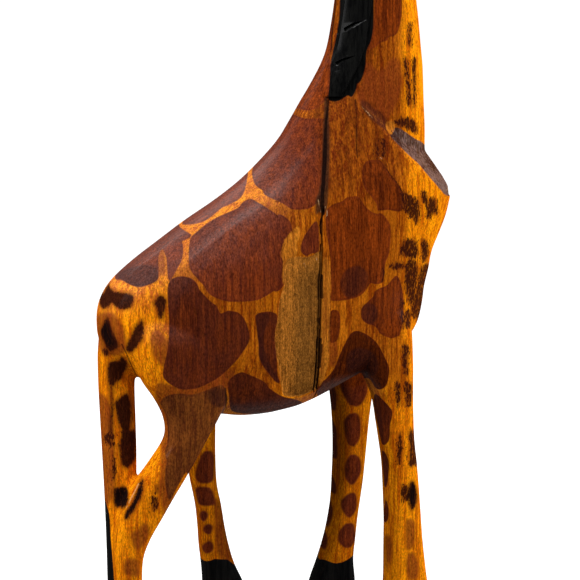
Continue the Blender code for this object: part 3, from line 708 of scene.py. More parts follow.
def join(name, pieces):
    """One mesh holding all the given closed shells."""
    bm = bmesh.new()
    for piece in pieces:
        bm.from_mesh(piece.data)
        bpy.data.objects.remove(piece, do_unlink=True)
    mesh = bpy.data.meshes.new(name)
    bm.to_mesh(mesh)
    bm.free()
    return linked(name, mesh)


def flow(obj):
    """Melts overlapping shells into one skin and softens their meeting lines."""
    melt = obj.modifiers.new("Melt", "REMESH")
    melt.mode = "VOXEL"
    melt.voxel_size = VOXEL * MM
    soften = obj.modifiers.new("Soften", "SMOOTH")
    soften.factor = 0.5
    soften.iterations = SMOOTH_PASSES
    return bake(obj)


def on_head(station, lift=0.0, across=0.0):
    """A point in the head's own frame: along it, above its axis and to its left."""
    c = math.cos(HEAD_ANGLE)
    s = math.sin(HEAD_ANGLE)
    start = Vector((HEAD_START[0], across, HEAD_START[1]))
    return start + Vector((c, 0, s)) * station + Vector((-s, 0, c)) * lift


def head():
    up = on_head(0, 1) - on_head(0)
    rings = []
    for station in steps(HEAD[0][0], HEAD[-1][0], HEAD_STEP):
        drop, half_height, half_width = ramp(HEAD, station)
        rings.append(oval(on_head(station, -drop), LEFT, up, half_width, half_height, HEAD_POWER))
    return loft("head", rings)


def carve_face(body):
    """Raised eyes, a saw-cut mouth and two drilled nostrils."""
    station, lift, inner, outer, long_radius, short_radius = EYE
    hole, hole_lift, hole_across, hole_radius = NOSTRIL
    forward = on_head(1) - on_head(0)
    up = on_head(0, 1) - on_head(0)
    for side in (-1, 1):
        rings = []
        for share, size in EYE_PROFILE:
            centre = on_head(station, lift, side * (inner + (outer - inner) * share))
            rings.append(oval(centre, forward, up, long_radius * size, short_radius * size, 2.0, 20))
        combine(body, loft("eye", rings), "UNION")
        low = on_head(hole - 2, hole_lift, side * hole_across * 0.8)
        high = on_head(hole + 14, hole_lift + 4, side * hole_across * 1.3)
        combine(body, rod("nostril", low, high, hole_radius, 12), "DIFFERENCE")
    corners = []
    for ahead, gape in ((0, 0), (MOUTH_LENGTH, -MOUTH_KERF), (MOUTH_LENGTH, MOUTH_KERF)):
        point = on_head(MOUTH_CORNER + ahead, -MOUTH_DROP + gape)
        corners.append((point.x, point.z))
    combine(body, prism("mouth", corners, -30, 30), "DIFFERENCE")


def horn(side):
    foot = mirrored(HORN_FOOT, side)
    tip = mirrored(HORN_TIP, side)
    rings = []
    for share, size in HORN_PROFILE:
        radius = HORN_RADIUS * size
        rings.append(oval(foot.lerp(tip, share), AHEAD, LEFT, radius, radius, 2.0, 16))
    return loft("horn", rings)


def ear(side, name):
    """An ear with its tenon, and the socket it sits in."""
    root = mirrored(EAR_ROOT, side)
    tip = mirrored(EAR_TIP, side)
    axis = (tip - root).normalized()
    broad = Vector((0.25, 0, 1)).normalized()
    broad = (broad - axis * broad.dot(axis)).normalized()
    flat = axis.cross(broad).normalized()
    length = (tip - root).length
    rings = []
    for share, size in EAR_PROFILE:
        centre = root + axis * length * share
        thick = EAR_THICKNESS / 2 * (0.55 + 0.45 * size)
        rings.append(oval(centre, broad, flat, EAR_HALF_HEIGHT * size, thick, 2.0, 20))
    blade = loft(name, rings)
    low = root - axis * TENON_LENGTH
    tenon = rod("tenon", low, root + axis * length * 0.3, TENON_RADIUS * 0.8, 16)
    combine(blade, tenon, "UNION")
    socket = rod("socket", low - axis * GAP, root + axis * 12.0, TENON_RADIUS, 16)
    return blade, socket


def shoulder_cut(body):
    """Cuts the sloping ledge from which the neck rises."""
    x, y, z = LEDGE_NORMAL
    for side in (-1, 1):
        normal = Vector((x, y * side, z)).normalized()
        across = Vector((z, 0, -x)).normalized()
        third = normal.cross(across).normalized()
        turn = Matrix((across, third, normal)).transposed()
        centre = mirrored(LEDGE_POINT, side) + normal * 60.0
        combine(body, slab(centre, (400, 300, 120), turn), "DIFFERENCE")
    return combine(body, prism("drop", LEDGE_DROP, -200, 200), "DIFFERENCE")


def pad():
    """The raised, black-painted mane before notching."""
    rings = []
    for z in steps(MANE_LOW, MANE_HIGH, 4.0):
        back, _, _, half_width, _ = ramp(NECK, z)
        share = min(1.0, (z - MANE_LOW + 3.0) / 30.0)
        ring = []
        for offset, across in PAD_PLAN:
            x = back + offset if offset > 0 else back + 6 + (offset - 6) * share
            y = across * half_width
            if across < -0.8:
                y *= 0.955 + 0.045 * share
            ring.append(Vector((x, y, z)))
        rings.append(ring)
    return loft("pad", rings)


def notched(body):
    """Knife notches up the mane: slender leaves, each one a little different."""
    cutters = []
    for i, (shift, tall, rise) in enumerate(NOTCHES):
        z = NOTCH_FIRST + NOTCH_PITCH * i + shift
        back, _, _, wide, _ = ramp(NECK, z)
        points = [
            Vector((back - 4.5, -0.36 * wide, z - rise)),
            Vector((back + 19.0, -wide - 0.8, z + rise)),
            Vector((back + 5.0, -0.8 * wide + 3.6, z + 1.0)),
            Vector((back + 1.5, -0.9 * wide - 2.5, z + tall)),
            Vector((back + 1.5, -0.9 * wide - 2.5, z - tall)),
        ]
        faces = ((0, 2, 3), (0, 4, 2), (0, 3, 4), (1, 3, 2), (1, 2, 4), (1, 4, 3))
        cutters.append(mesh_object("notch", points, faces))
    return combine(body, join("notches", cutters), "DIFFERENCE")


def carve():
    """The whole figure before it is split at the joint, and its ears."""
    shells = [shoulder_cut(upright("trunk", TORSO))]
    for rows in (FORE_RIGHT, FORE_LEFT, HIND_RIGHT, HIND_LEFT, TAIL, NECK):
        shells.append(upright("shell", rows))
    shells += [head(), horn(-1), horn(1)]
    body = flow(join("body", shells))
    combine(body, notched(pad()), "UNION")
    carve_face(body)
    combine(body, slab((0, 0, -50), (900, 400, 100)), "DIFFERENCE")
    ears = []
    for side, name in ((-1, "looks_ear_right"), (1, "looks_ear_left")):
        blade, socket = ear(side, name)
        combine(body, socket, "DIFFERENCE")
        ears.append(blade)
    return body, ears


def joint_x(z):
    """The visible joint, which wanders about the glue plane."""
    return SEAM_FOOT_X + SEAM_LEAN * (z - SEAM_FOOT_Z) + straight(JOINT_DRIFT, z)


def along_joint(edges, floor_y):
    """A prism between two lines given as height and offsets from the joint."""
    rear = [(joint_x(z) + low, z) for z, low, _ in edges]
    front = [(joint_x(z) + high, z) for z, _, high in edges]
    return prism("strip", rear + front[::-1], -200.0, floor_y)


def behind_joint(offset):
    """Everything behind the visible joint moved by this offset."""
    outline = [(-400, -50)]
    outline += [(joint_x(z) + offset, z) for z, _ in JOINT_DRIFT]
    outline += [(-400, 1000)]
    return prism("half", outline, -200.0, 200.0)


def crack():
    """The open joint on the near side: two straight slits, ragged at the top."""
    slits = []
    for low, high, floor, spread in SLITS:
        edges = []
        for i, z in enumerate(steps(SPLIT_LOW, SPLIT_TOP, 4.0)):
            chatter = 0.12 * math.sin(i * 2.3 + low) + 0.08 * math.sin(i * 0.9)
            chatter -= spread * (372.0 - z)
            thin = 0.35 if z < 240.0 else 0.0
            edges.append((z, low + chatter + thin, high + chatter - thin))
        slits.append(along_joint(edges, SPLIT_FLOOR_Y + floor))
    edges = []
    for i, z in enumerate(steps(SPLIT_WANDER[0][0], SPLIT_WANDER[-1][0], 3.0)):
        wander = straight(SPLIT_WANDER, z) + 0.25 * math.sin(i * 2.9) - 0.2
        wide = 0.75 + 0.35 * math.sin(i * 2.1)
        edges.append((z, wander - wide, wander + wide))
    slits.append(along_joint(edges, SPLIT_FLOOR_Y))
    return slits


def part_blocks(body):
    """Splits the figure into front and rear blocks and the filler strip."""
    filler = linked("looks_filler", body.data.copy())
    strip = [(z, -wide, -0.1) for z, wide in FILLER_SHAPE]
    pocket = [(z, -wide - 0.08, 0.1) for z, wide in FILLER_SHAPE]
    combine(filler, along_joint(strip, FILLER_FLOOR_Y), "INTERSECT")
    combine(body, along_joint(pocket, FILLER_FLOOR_Y + GAP), "DIFFERENCE")
    for slit in crack():
        combine(body, slit, "DIFFERENCE")
    front = linked("looks_front_block", body.data.copy())
    body.name = "looks_rear_block"
    combine(body, behind_joint(-0.1), "INTERSECT")
    combine(front, behind_joint(0.1), "DIFFERENCE")
    return front, body, filler


def surface(mesh):
    """Each vertex's place in the design's own millimetres, and its normal."""
    count = len(mesh.vertices) * 3
    places = np.empty(count, np.float32)
    normals = np.empty(count, np.float32)
    mesh.vertices.foreach_get("co", places)
    mesh.vertex_normals.foreach_get("vector", normals)
    places = places.reshape(-1, 3).astype(float) / MM
    return places - np.array([SHIFT_X, 0, 0]), normals.reshape(-1, 3).astype(float)


def on_sheet(x, y, z):
    """Places on the sheet of marks."""
    c = math.cos(SHEET_TURN)
    return np.stack([x * c + y * math.sin(SHEET_TURN) + SHIFT_X * c, z], 1)


def curve_through(outline, closed):
    """A smooth line through the outline's points."""
    points = np.array(outline, float)
    if closed:
        before = np.roll(points, 1, 0)
        after = np.roll(points, -1, 0)
        last = np.roll(points, -2, 0)
    else:
        before = np.vstack([points[:1], points[:-2]])
        after = points[1:]
        last = np.vstack([points[2:], points[-1:]])
        points = points[:-1]
    found = []
    for t in (0.0, 0.25, 0.5, 0.75):
        a = -0.5 * t**3 + t**2 - 0.5 * t
        b = 1.5 * t**3 - 2.5 * t**2 + 1
        c = -1.5 * t**3 + 2 * t**2 + 0.5 * t
        d = 0.5 * t**3 - 0.5 * t**2
        found.append(a * before + b * points + c * after + d * last)
    line = np.stack(found, 1).reshape(-1, 2)
    return line if closed else np.vstack([line, after[-1:]])


def reach(points, line, closed):
    """The points near the line, their distance to it, and whether they are inside."""
    low = line.min(0) - DEEP
    high = line.max(0) + DEEP
    near = np.flatnonzero(((points > low) & (points < high)).all(1))
    x, y = points[near].T
    nearest = np.full(len(near), 1e9)
    inside = np.zeros(len(near), bool)
    ends = np.roll(line, -1, 0) if closed else line[1:]
    starts = line if closed else line[:-1]
    for (ax, ay), (bx, by) in zip(starts, ends):
        dx = bx - ax
        dy = by - ay
        size = dx * dx + dy * dy
        if size < 1e-9:
            continue
        t = np.clip(((x - ax) * dx + (y - ay) * dy) / size, 0, 1)
        gap = (x - ax - t * dx) ** 2 + (y - ay - t * dy) ** 2
        np.minimum(nearest, gap, out=nearest)
        if closed and ay != by:
            inside ^= ((ay > y) != (by > y)) & (x < dx * (y - ay) / dy + ax)
    return near, np.sqrt(nearest), inside


def field(points, outlines):
    """How deep each point is inside the nearest outline; negative is outside."""
    out = np.full(len(points), -DEEP)
    for outline in outlines:
        near, gap, inside = reach(points, curve_through(outline, True), True)
        depth = np.where(inside, gap, -gap)
        out[near] = np.maximum(out[near], np.minimum(depth, DEEP))
    return out


def tone_at(points, outlines, tones):
    """The strength of colour of the outline each point is deepest inside."""
    best = np.full(len(points), -1e9)
    out = np.ones(len(points))
    for outline, tone in zip(outlines, tones):
        depth = field(points, [outline])
        out[(depth > best) & (depth > -DEEP)] = tone
        best = np.maximum(best, depth)
    return out


def line_gap(points, lines):
    """Distance to the nearest of these open lines, up to DEEP."""
    out = np.full(len(points), DEEP)
    for line in lines:
        line = curve_through(line, False) if len(line) > 2 else np.array(line, float)
        near, gap, _ = reach(points, line, False)
        out[near] = np.minimum(out[near], gap)
    return out


def soft(value, low, high):
    """A smooth step from 0 at low to 1 at high."""
    t = np.clip((value - low) / (high - low), 0, 1)
    return t * t * (3 - 2 * t)


def wobble(points, size, scale, seed):
    """A smooth drift from crossed waves."""
    angle = points @ np.array([[1.3, 0.4], [-0.5, 1.1]]).T / scale + seed
    return size * (np.sin(angle[:, 0]) + np.sin(angle[:, 1] * 1.7 + seed))


def middle_of(rows, z):
    return (straight(rows, z, 1) + straight(rows, z, 2)) / 2


def blob(across, height, half_across, half_height, seed):
    """A hand-painted spot."""
    ring = []
    for i in range(14):
        angle = 2 * math.pi * i / 14
        size = 1 + 0.09 * math.sin(3 * angle + seed) + 0.06 * math.sin(5 * angle + 2 * seed)
        c = math.copysign(abs(math.cos(angle)) ** 0.8, math.cos(angle))
        s = math.copysign(abs(math.sin(angle)) ** 0.8, math.sin(angle))
        ring.append((across + half_across * size * c, height + half_height * size * s))
    return ring


def front_spots():
    """Scorched dashes on the front of the neck and the breast."""
    spots = []
    for i, z in enumerate(FRONT_HEIGHTS):
        low = z < 450
        for k in (-1, 0, 1):
            if z > 640 and k == 0:
                continue
            y = k * (26 if low else 13) + 5 * math.sin(i * 2.3 + k)
            tall = 9 + 4 * math.sin(i * 1.3 + k * 2.0)
            wide = 5.5 if low else 3.3
            spots.append(blob(y, z + 9 * math.sin(i + k * 3.0), wide, tall, i + k))
    return spots


def paint(obj):
    """Writes the stain, scorch and paint depths into the mesh as attributes."""
    p, n = surface(obj.data)
    x, y, z = p.T
    facing = n @ np.array(SHEET_FACE)
    near_side = soft(facing, -0.3, 0.05)
    leg = 1 - soft(z, 205, 290)
    inner = (y > 3) & (z < 248)
    ahead = soft(n[:, 0], 0.72, 0.9) * (z > 262) * (z < 845)
    here = (y < -20).astype(float)

    # The far side repeats the near side's marks, shifted with its legs and wobbled.
    sheet = on_sheet(x, y, z)
    slip_fore = middle_of(FORE_RIGHT, z) - middle_of(FORE_LEFT, z)
    slip_hind = middle_of(HIND_RIGHT, z) - middle_of(HIND_LEFT, z)
    slip = np.where(x > 10, slip_fore, slip_hind) * leg * (y > 0)
    across = np.where(y < 0, -30.0, -y) * leg - np.abs(y) * (1 - leg)
    other = on_sheet(x + slip, across, z)
    other[:, 0] += wobble(p[:, [0, 2]], 3.0, 31.0, 0.4) * (1 - leg)
    other[:, 1] += wobble(p[:, [2, 0]], 3.5, 37.0, 1.9)

    def both(near_lines, far_lines=None):
        first = field(sheet, near_lines)
        if far_lines is not None:
            first = np.where(inner, field(sheet, far_lines), first)
        return first * near_side + field(other, near_lines) * (1 - near_side)

    def only(depth, where):
        return depth * where - DEEP * (1 - where)

    upper = [blob(*spot, seed=i * 1.7) for i, spot in enumerate(UPPER_SPOTS)]
    smooth = [*PATCHES, *LEG_PATCHES, *upper]
    tones = PATCH_TONES + (LEG_TONE,) * len(LEG_PATCHES) + (1.0,) * len(upper)
    tone = np.where(inner, 1.15, tone_at(sheet, smooth, tones))
    stain = both(smooth, FAR_SPOTS) * np.where(inner, 0.4, 1.0)
    breast = field(np.stack([y, z], 1), front_spots())
    # Painted sheen on up-facing rear surfaces and along the underside's lower edge; the same mask
    # thickens the coat.
    top = soft(n[:, 2], 0.0, 0.62) * soft(z, 240, 300) * (1 - 0.85 * soft(x, -32, 12))
    belly_sheen = soft(-n[:, 2], 0.2, 0.6) * (1 - soft(z, 243, 256)) * (np.abs(x) < 105) * (z > 222)
    # Painted shade on the far legs, on down-facing faces and on the near foreleg's rear facet.
    shade = inner * (0.2 + 0.3 * soft(n[:, 0], 0.1, 0.7)) + 0.25 * soft(-n[:, 2], 0.1, 0.7)
    shade += 0.35 * soft(-n[:, 0], 0.1, 0.8) * (x > 30) * leg
    unseen = np.where(facing > -0.2, 0.0, DEEP)
    values = {
        "stain": only(stain, 1 - ahead),
        "tone": tone * near_side + tone_at(other, smooth, tones) * (1 - near_side),
        "sky": np.maximum(top, 1.3 * belly_sheen),
        # Thin stain on the near side, painted shade on the far hind leg.
        "faint": both(FAINT_PATCHES, FAR_SHADE),
        "deep": both(DEEP_PATCHES, ()),
        "scorch": only(both([*BURNS, *CHARS], ()), 1 - ahead),
        "singe": (both(SINGES, ()) - 0.9 * leg) * (1 - ahead) + breast * ahead,
        "char": both(CHARS, ()),
        "black": blackness(p, sheet),
        "bare": only(field(sheet, RAW_WOOD), here * (x < joint_x(z) - 0.2)),
        "rubbed": only(field(sheet, BARE_STRIP), here),
        "smear": only(field(sheet, SMEAR), here),
        # Yellow from lighter stain and painted light, browner in painted shade.
        "bright": brightness(x, z, n),
        # Dark joint line, and painted shade on the slit's walls.
        "seam": seam_dirt_and_slit_shade(x, y, z, n),
        "ledge": both(LEDGE_PAINT),
        # Pale lines and painted highlights.
        "pale": -line_gap(sheet, PALE_LINES_AND_HIGHLIGHTS) - unseen,
        "dark": -line_gap(sheet, DARK_LINES) - unseen,
        "worn": soft(-x, -4, 22) + 0.5 * soft(z, 330, 366),
        "shade": np.minimum(shade, 0.7),
        "front": soft(x, 14, 26) * (z > 225),
    }
    for name, value in values.items():
        layer = obj.data.attributes.new(name, "FLOAT", "POINT")
        layer.data.foreach_set("value", value.astype(np.float32))


def blackness(p, sheet):
    """Depth inside the black paint of the mane, tail, hooves, horn tips and eyes."""
    x, y, z = p.T
    mane = field(sheet, MANE_PAINT) + np.where(y > 0, -DEEP, 0)
    back = straight(NECK, z, 1)
    wide = straight(NECK, z, 4)
    upper = np.minimum.reduce([back + 17.0 - x, -0.22 * wide - y, 866.0 - z])
    black = np.maximum(mane, field(sheet, TUFT_PAINT))
    black = np.where(z > MANE_PAINT_TOP, np.minimum(upper, DEEP), black)
    hoof = HOOF_TOP - z + 1.5 * np.sin(x * 0.16) + 1.2 * np.sin(y * 0.3 + 1)
    hoof = np.where((x < -10) & (y > 0), straight(FAR_HOOF, x) - z, hoof)
    hoof = np.where((x > 30) & (y < 0), hoof - NEAR_HOOF_DROP, hoof)
    found = [black, hoof, z - (HEIGHT - HORN_TIP_PAINT)]
    station, lift, _, outer, radius, _ = EYE
    for side in (-1, 1):
        centre = np.array(on_head(station, lift, side * outer * 0.95))
        found.append(radius * 0.95 - np.linalg.norm(p - centre, axis=1))
    return np.clip(np.maximum.reduce(found), -DEEP, DEEP)


def brightness(x, z, n):
    """Where the varnished wood is yellow rather than brown, partly from lighter stain and partly
    painted light; painted shade darkens the neck's sides.
    """
    # Partly lighter stain and partly painted light from the sides: rump, chest and legs.
    rump = soft(-x, 95, 150)
    chest = soft(x, 92, 116) * soft(z, 220, 260)
    legs = 1 - soft(z, 215, 262)
    # Painted light on the neck's forward-facing faces.
    neck = soft(z, 470, 520) * (0.05 + 0.95 * soft(n[:, 0], 0.15, 0.5))
    # Painted light on up-facing faces towards the rear.
    top = soft(n[:, 2], 0.2, 0.7) * soft(-x, -30, 30)
    best = np.maximum.reduce([rump, chest, legs * 0.85, neck, top * 0.8])
    shoulder = soft(x, 16, 24) * soft(z, 395, 430) * (1 - soft(x, 84, 100))
    # Painted shade on the sides of the neck.
    shaded_neck_side = soft(z, 470, 500) * (1 - soft(n[:, 0], 0.1, 0.4))
    middle = 0.22 + 0.1 * np.sin(x * 0.07) * np.sin(z * 0.05)
    middle -= 0.3 * np.maximum(shoulder, shaded_neck_side)
    return middle + (1 - middle) * best


def seam_dirt_and_slit_shade(x, y, z, n):
    """Closeness to the dark joint line, and painted shade on the walls of the open slit."""
    ahead = x - joint_x(z)
    close = straight(DIRT_WIDTH, z) - np.abs(ahead + straight(DIRT_BACK, z)) - 0.5 * (y > 0)
    seen = (z > 225) & (z < 497) & (np.abs(y) > 22)
    dark_joint_and_shade = np.where(seen, np.maximum(close, -DEEP), -DEEP)
    sideways = np.abs(n[:, 0])
    # Painted shade: the slit's inner walls are painted dark.
    wall = (sideways > 0.6) & (np.abs(ahead) < 4.5) & (np.abs(y) < 53) & (z > 231) & (z < 415)
    dark_joint_and_shade = np.where(wall, 1.2, dark_joint_and_shade)
    sliver = (sideways < 0.6) & (ahead > -3.6) & (ahead < -0.3)
    sliver &= (z > 233) & (z < 372) & (y < -44)
    return np.where(sliver, -0.12, dark_joint_and_shade)


def roughen(obj):
    """Sinks and splinters the chipped area."""
    p, n = surface(obj.data)
    x, y, z = p.T
    depth = field(on_sheet(x, y, z), RAW_WOOD)
    sink = soft(depth, -0.4, 1.1) * ((y < -30) & (n[:, 1] < -0.35))
    fibre = np.sin(x * 2.1 + 0.6 * np.sin(z * 0.05)) * 0.5
    fibre += np.sin(x * 0.9 + 1.3 * np.sin(z * 0.031 + 1)) * 0.6
    fibre += np.sin(z * 0.23 + x * 0.4) * 0.25
    floor = CHIP_DEPTH * (0.75 + 0.25 * soft(x, -24, 8)) + 0.4 * fibre
    floor *= 1 - 0.65 * soft(z, 338, 362)
    p[:, 1] += sink * np.maximum(floor, 0.3)
    p += np.array([SHIFT_X, 0, 0])
    obj.data.vertices.foreach_set("co", (p * MM).astype(np.float32).ravel())
    obj.data.update()


class Nodes:
    """Short names for the shader nodes used below."""

    def __init__(self, name):
        self.material = bpy.data.materials.new(name)
        self.material.use_nodes = True
        self.tree = self.material.node_tree
        self.place = self.add("TexCoord").outputs["Object"]

    def add(self, kind):
        return self.tree.nodes.new("ShaderNode" + kind)

    def put(self, socket, value):
        if isinstance(value, bpy.types.NodeSocket):
            self.tree.links.new(value, socket)
        elif isinstance(value, tuple) and len(value) == 3 and socket.type == "RGBA":
            socket.default_value = (*value, 1.0)
        else:
            socket.default_value = value

    def fill(self, node, values):
        for socket, value in zip(node.inputs, values):
            self.put(socket, value)
        return node.outputs[0]

    def math(self, kind, a, b=0.0, c=0.0, clamp=False):
        node = self.add("Math")
        node.operation = kind
        node.use_clamp = clamp
        return self.fill(node, (a, b, c))

    def times(self, a, b):
        return self.math("MULTIPLY", a, b)

    def plus(self, a, share, b):
        """a times share, plus b."""
        return self.math("MULTIPLY_ADD", a, share, b)

    def spread(self, value, gain, base=0.0):
        """A noise's swing about one half, times gain, plus base."""
        return self.plus(self.math("SUBTRACT", value, 0.5), gain, base)

    def read(self, name):
        node = self.add("Attribute")
        node.attribute_name = name
        return node.outputs["Fac"]

    def noise(self, scale, detail=2.0, rough=0.5, twist=0.0):
        stretch = self.add("VectorMath")
        stretch.operation = "MULTIPLY"
        node = self.add("TexNoise")
        self.put(node.inputs["Vector"], self.fill(stretch, (self.place, scale)))
        given = {"Scale": 1.0, "Detail": detail, "Roughness": rough, "Distortion": twist}
        for name, value in given.items():
            node.inputs[name].default_value = value
        return node.outputs["Fac"]

    def ease(self, value, low, high, first=0.0, last=1.0):
        node = self.add("MapRange")
        node.interpolation_type = "SMOOTHSTEP"
        return self.fill(node, (value, low, high, first, last))

    def mix(self, share, a, b, kind="MIX"):
        node = self.add("Mix")
        node.data_type = "RGBA"
        node.blend_type = kind
        self.put(node.inputs[0], share)
        self.put(node.inputs[6], a)
        self.put(node.inputs[7], b)
        return node.outputs[2]

    def grey(self, value):
        return self.fill(self.add("CombineColor"), (value, value, value))

    def bump(self, height, distance, strength):
        node = self.add("Bump")
        node.inputs["Distance"].default_value = distance
        node.inputs["Strength"].default_value = strength
        self.put(node.inputs["Height"], height)
        return node.outputs["Normal"]

    def finish(self, **given):
        shader = self.tree.nodes["Principled BSDF"]
        for name, value in given.items():
            self.put(shader.inputs[name.replace("_", " ")], value)
        return self.material


def stained_wood(name):
    w = Nodes(name)
    grain = w.noise((330, 330, 14), 4.0, 0.62)
    fibre = w.noise((1300, 1300, 60), 2.0, 0.5)
    broad = w.noise((42, 42, 5), 3.0, 0.55, 0.6)
    speck = w.noise((900, 900, 420), 2.0, 0.6)
    fleck = w.noise((620, 620, 250), 2.0, 0.62)
    drift = w.noise((60, 60, 40), 2.0, 0.5)
    band = w.noise((150, 150, 5), 3.0, 0.55, 0.3)
    streak = w.plus(band, 0.22, w.plus(grain, 0.5, w.times(fibre, 0.28)))
    edge = w.spread(speck, 1.4, w.spread(grain, 2.2))
    # Mask of the painted sheen, also used to thicken the coat.
    sky = w.read("sky")
    # How yellow the wood is: lighter stain, painted light and painted shade.
    bright = w.read("bright")
    tone = w.read("tone")
    singe = w.read("singe")

    def mask(attribute, soft_by, ragged):
        return w.ease(w.plus(edge, ragged, w.read(attribute)), -soft_by, soft_by)

    def over(color, share, top, strength=1.0):
        return w.mix(w.times(share, strength), color, top)

    def grained(low, high, dark, light):
        return w.mix(w.ease(streak, low, high), dark, light)

    # Varnished wood, from brown to yellow: yellower where the stain is lighter and where light is
    # painted.
    yellow = grained(0.41, 0.57, ORANGE_DARK, ORANGE_LIGHT)
    yellow = over(yellow, w.ease(broad, 0.4, 0.72), ORANGE_DEEP, 0.5)
    brown = grained(0.41, 0.57, DULL_DARK, DULL_LIGHT)
    brown = over(brown, w.ease(band, 0.42, 0.6), DULL_RED, 0.6)
    umber = grained(0.42, 0.58, DULL_RED, UMBER_PALE)
    umber = over(umber, w.ease(band, 0.45, 0.62), UMBER_DARK, 0.6)
    brown = w.mix(w.ease(bright, 0.12, -0.08), brown, umber)
    color = w.mix(w.ease(bright, 0.0, 1.0), brown, yellow)

    # Stained patches, darker where the stain pooled.
    stain = mask("stain", 0.55, 0.55)
    red = grained(0.38, 0.62, STAIN_DARK, STAIN_LIGHT)
    red = over(red, w.ease(drift, 0.35, 0.68), STAIN_PURPLE, 0.45)
    red = w.mix(w.read("front"), red, grained(0.38, 0.62, UMBER_DARK, UMBER_LIGHT))
    red = w.mix(1.0, red, w.grey(tone), "MULTIPLY")
    red = over(red, w.ease(tone, 1.2, 1.35), grained(0.4, 0.6, THIGH_DARK, THIGH_LIGHT))
    # Thin stain patches, and painted shade down the far hind leg.
    color = over(color, mask("faint", 2.2, 1.6), FAINT_STAIN_AND_SHADE, 0.78)
    color = w.mix(stain, color, red)
    depth = w.read("stain")
    rim = w.times(w.ease(depth, -0.3, 0.7), w.ease(depth, 3.0, 0.8))
    color = over(color, rim, STAIN_DARK, 0.35)
    color = over(color, mask("deep", 1.2, 0.8), STAIN_DEEP, 0.62)
    # Painted sheen, flecked, on up-facing surfaces and the underside's edge.
    color = over(color, w.times(sky, w.ease(fleck, 0.2, 0.7, 0.6, 1.0)), PAINTED_SHEEN, 0.07)
    shelf = mask("ledge", 0.6, 0.6)
    # The ledge's dark stain, mottled with painted grey sheen.
    ledge_sheen_mottle = w.ease(w.plus(drift, 0.5, w.times(fleck, 0.5)), 0.4, 0.6)
    color = over(color, shelf, w.mix(ledge_sheen_mottle, LEDGE_DARK, LEDGE_SHEEN), 0.95)

    # Scorched spots with a toasted rim, solid or flecked.
    ragged = w.spread(grain, 5.0, w.spread(speck, 5.0))
    solid = w.math("ADD", w.read("scorch"), ragged)
    flecked = w.math("ADD", singe, ragged)
    color = over(color, w.ease(solid, -3.6, 0.8), TOAST, 0.62)
    color = over(color, w.ease(flecked, -1.6, 1.4), TOAST, 0.72)
    color = over(color, w.ease(solid, -0.8, 1.4), SCORCH, 0.97)
    dots = w.spread(fleck, 20.0, w.plus(grain, 9.0, -4.2))
    dots = w.math("ADD", w.math("MINIMUM", singe, 2.5), dots)
    color = over(color, w.ease(dots, -0.2, 2.0), SCORCH, 0.93)
    color = over(color, mask("char", 1.6, 3.2), CHAR, 0.9)

    # Glue, rubbed wood, pores and the raw chip, paler towards its back and top.
    smear = mask("smear", 1.3, 1.5)
    color = over(color, smear, SMEAR_TINT, 0.85)
    rubbed = grained(0.38, 0.6, RUBBED_DARK, RUBBED_LIGHT)
    color = over(color, mask("rubbed", 0.8, 0.8), rubbed, 0.92)
    pores = w.ease(w.noise((1500, 1500, 60), 1.0, 0.4), 0.6, 0.7)
    color = over(color, pores, PORE, 0.32)
    bare = mask("bare", 0.5, 0.9)
    splinter = w.times(w.noise((620, 620, 26), 3.0, 0.7), 0.45)
    splinter = w.plus(w.noise((1300, 1300, 600), 2.0, 0.6), 0.55, splinter)
    raw = w.mix(w.ease(splinter, 0.36, 0.64), BARE_DARK, BARE_LIGHT)
    raw = w.mix(w.ease(w.read("worn"), 0.0, 1.0), raw, w.mix(1.0, raw, WORN_GAIN, "MULTIPLY"))
    color = w.mix(bare, color, raw)

    # Open lines with painted shade in the slit and a crease, mottling darkened by painted shade,
    # black paint, and small nicks with painted highlights.
    # The dark joint line, and painted shade on the walls of the open slit.
    seam = w.ease(w.plus(edge, 0.5, w.read("seam")), -0.6, 0.6)
    color = over(color, seam, CHAR, 0.88)
    # Dark lines, among them painted shade in the crease at the tail's root.
    line = w.ease(w.plus(edge, 0.35, w.read("dark")), -1.0, -0.35)
    color = over(color, line, CHAR, 0.75)
    mottle_and_shade = w.spread(fleck, 0.9, w.spread(speck, 2.0, 1.0))
    # Painted shade darkens the mottling.
    mottle_and_shade = w.times(mottle_and_shade, w.math("SUBTRACT", 1.0, w.read("shade")))
    color = w.mix(1.0, color, w.grey(mottle_and_shade), "MULTIPLY")
    black = mask("black", 0.5, 0.5)
    color = w.mix(black, color, grained(0.4, 0.6, BLACK_DARK, BLACK_WORN))
    # Pale nicks and splinters, and painted highlights on the ledge's rim and the mane's notches.
    nick_and_highlight = w.ease(w.plus(edge, 0.6, w.read("pale")), -0.7, -0.1)
    color = over(color, nick_and_highlight, w.mix(black, NICK_AND_HIGHLIGHT, NICK_AND_HIGHLIGHT_GREY), 0.5)

    # Dry where bare or smeared with glue; a thin coat over stain, ledge and black paint.
    dry = w.math("MAXIMUM", bare, w.times(smear, 0.6))
    rough = w.math("MULTIPLY_ADD", dry, 0.35, w.plus(streak, 0.22, 0.3), True)
    coat = w.times(w.math("MAXIMUM", stain, shelf), w.plus(sky, 0.1, 0.035))
    coat = w.plus(sky, 0.03, coat)
    coat = w.times(coat, w.math("SUBTRACT", 1.0, w.math("MAXIMUM", dry, black)))
    coat = w.plus(black, 0.07, coat)
    rag = w.times(w.noise((500, 500, 60), 4.0, 0.7), dry)
    relief = w.plus(rag, 4.0, w.plus(pores, -0.8, streak))
    return w.finish(
        Base_Color=color,
        Roughness=rough,
        Normal=w.bump(relief, 0.00035, 0.7),
        Coat_Weight=coat,
        Coat_Roughness=0.2,
        Specular_IOR_Level=0.0,
    )


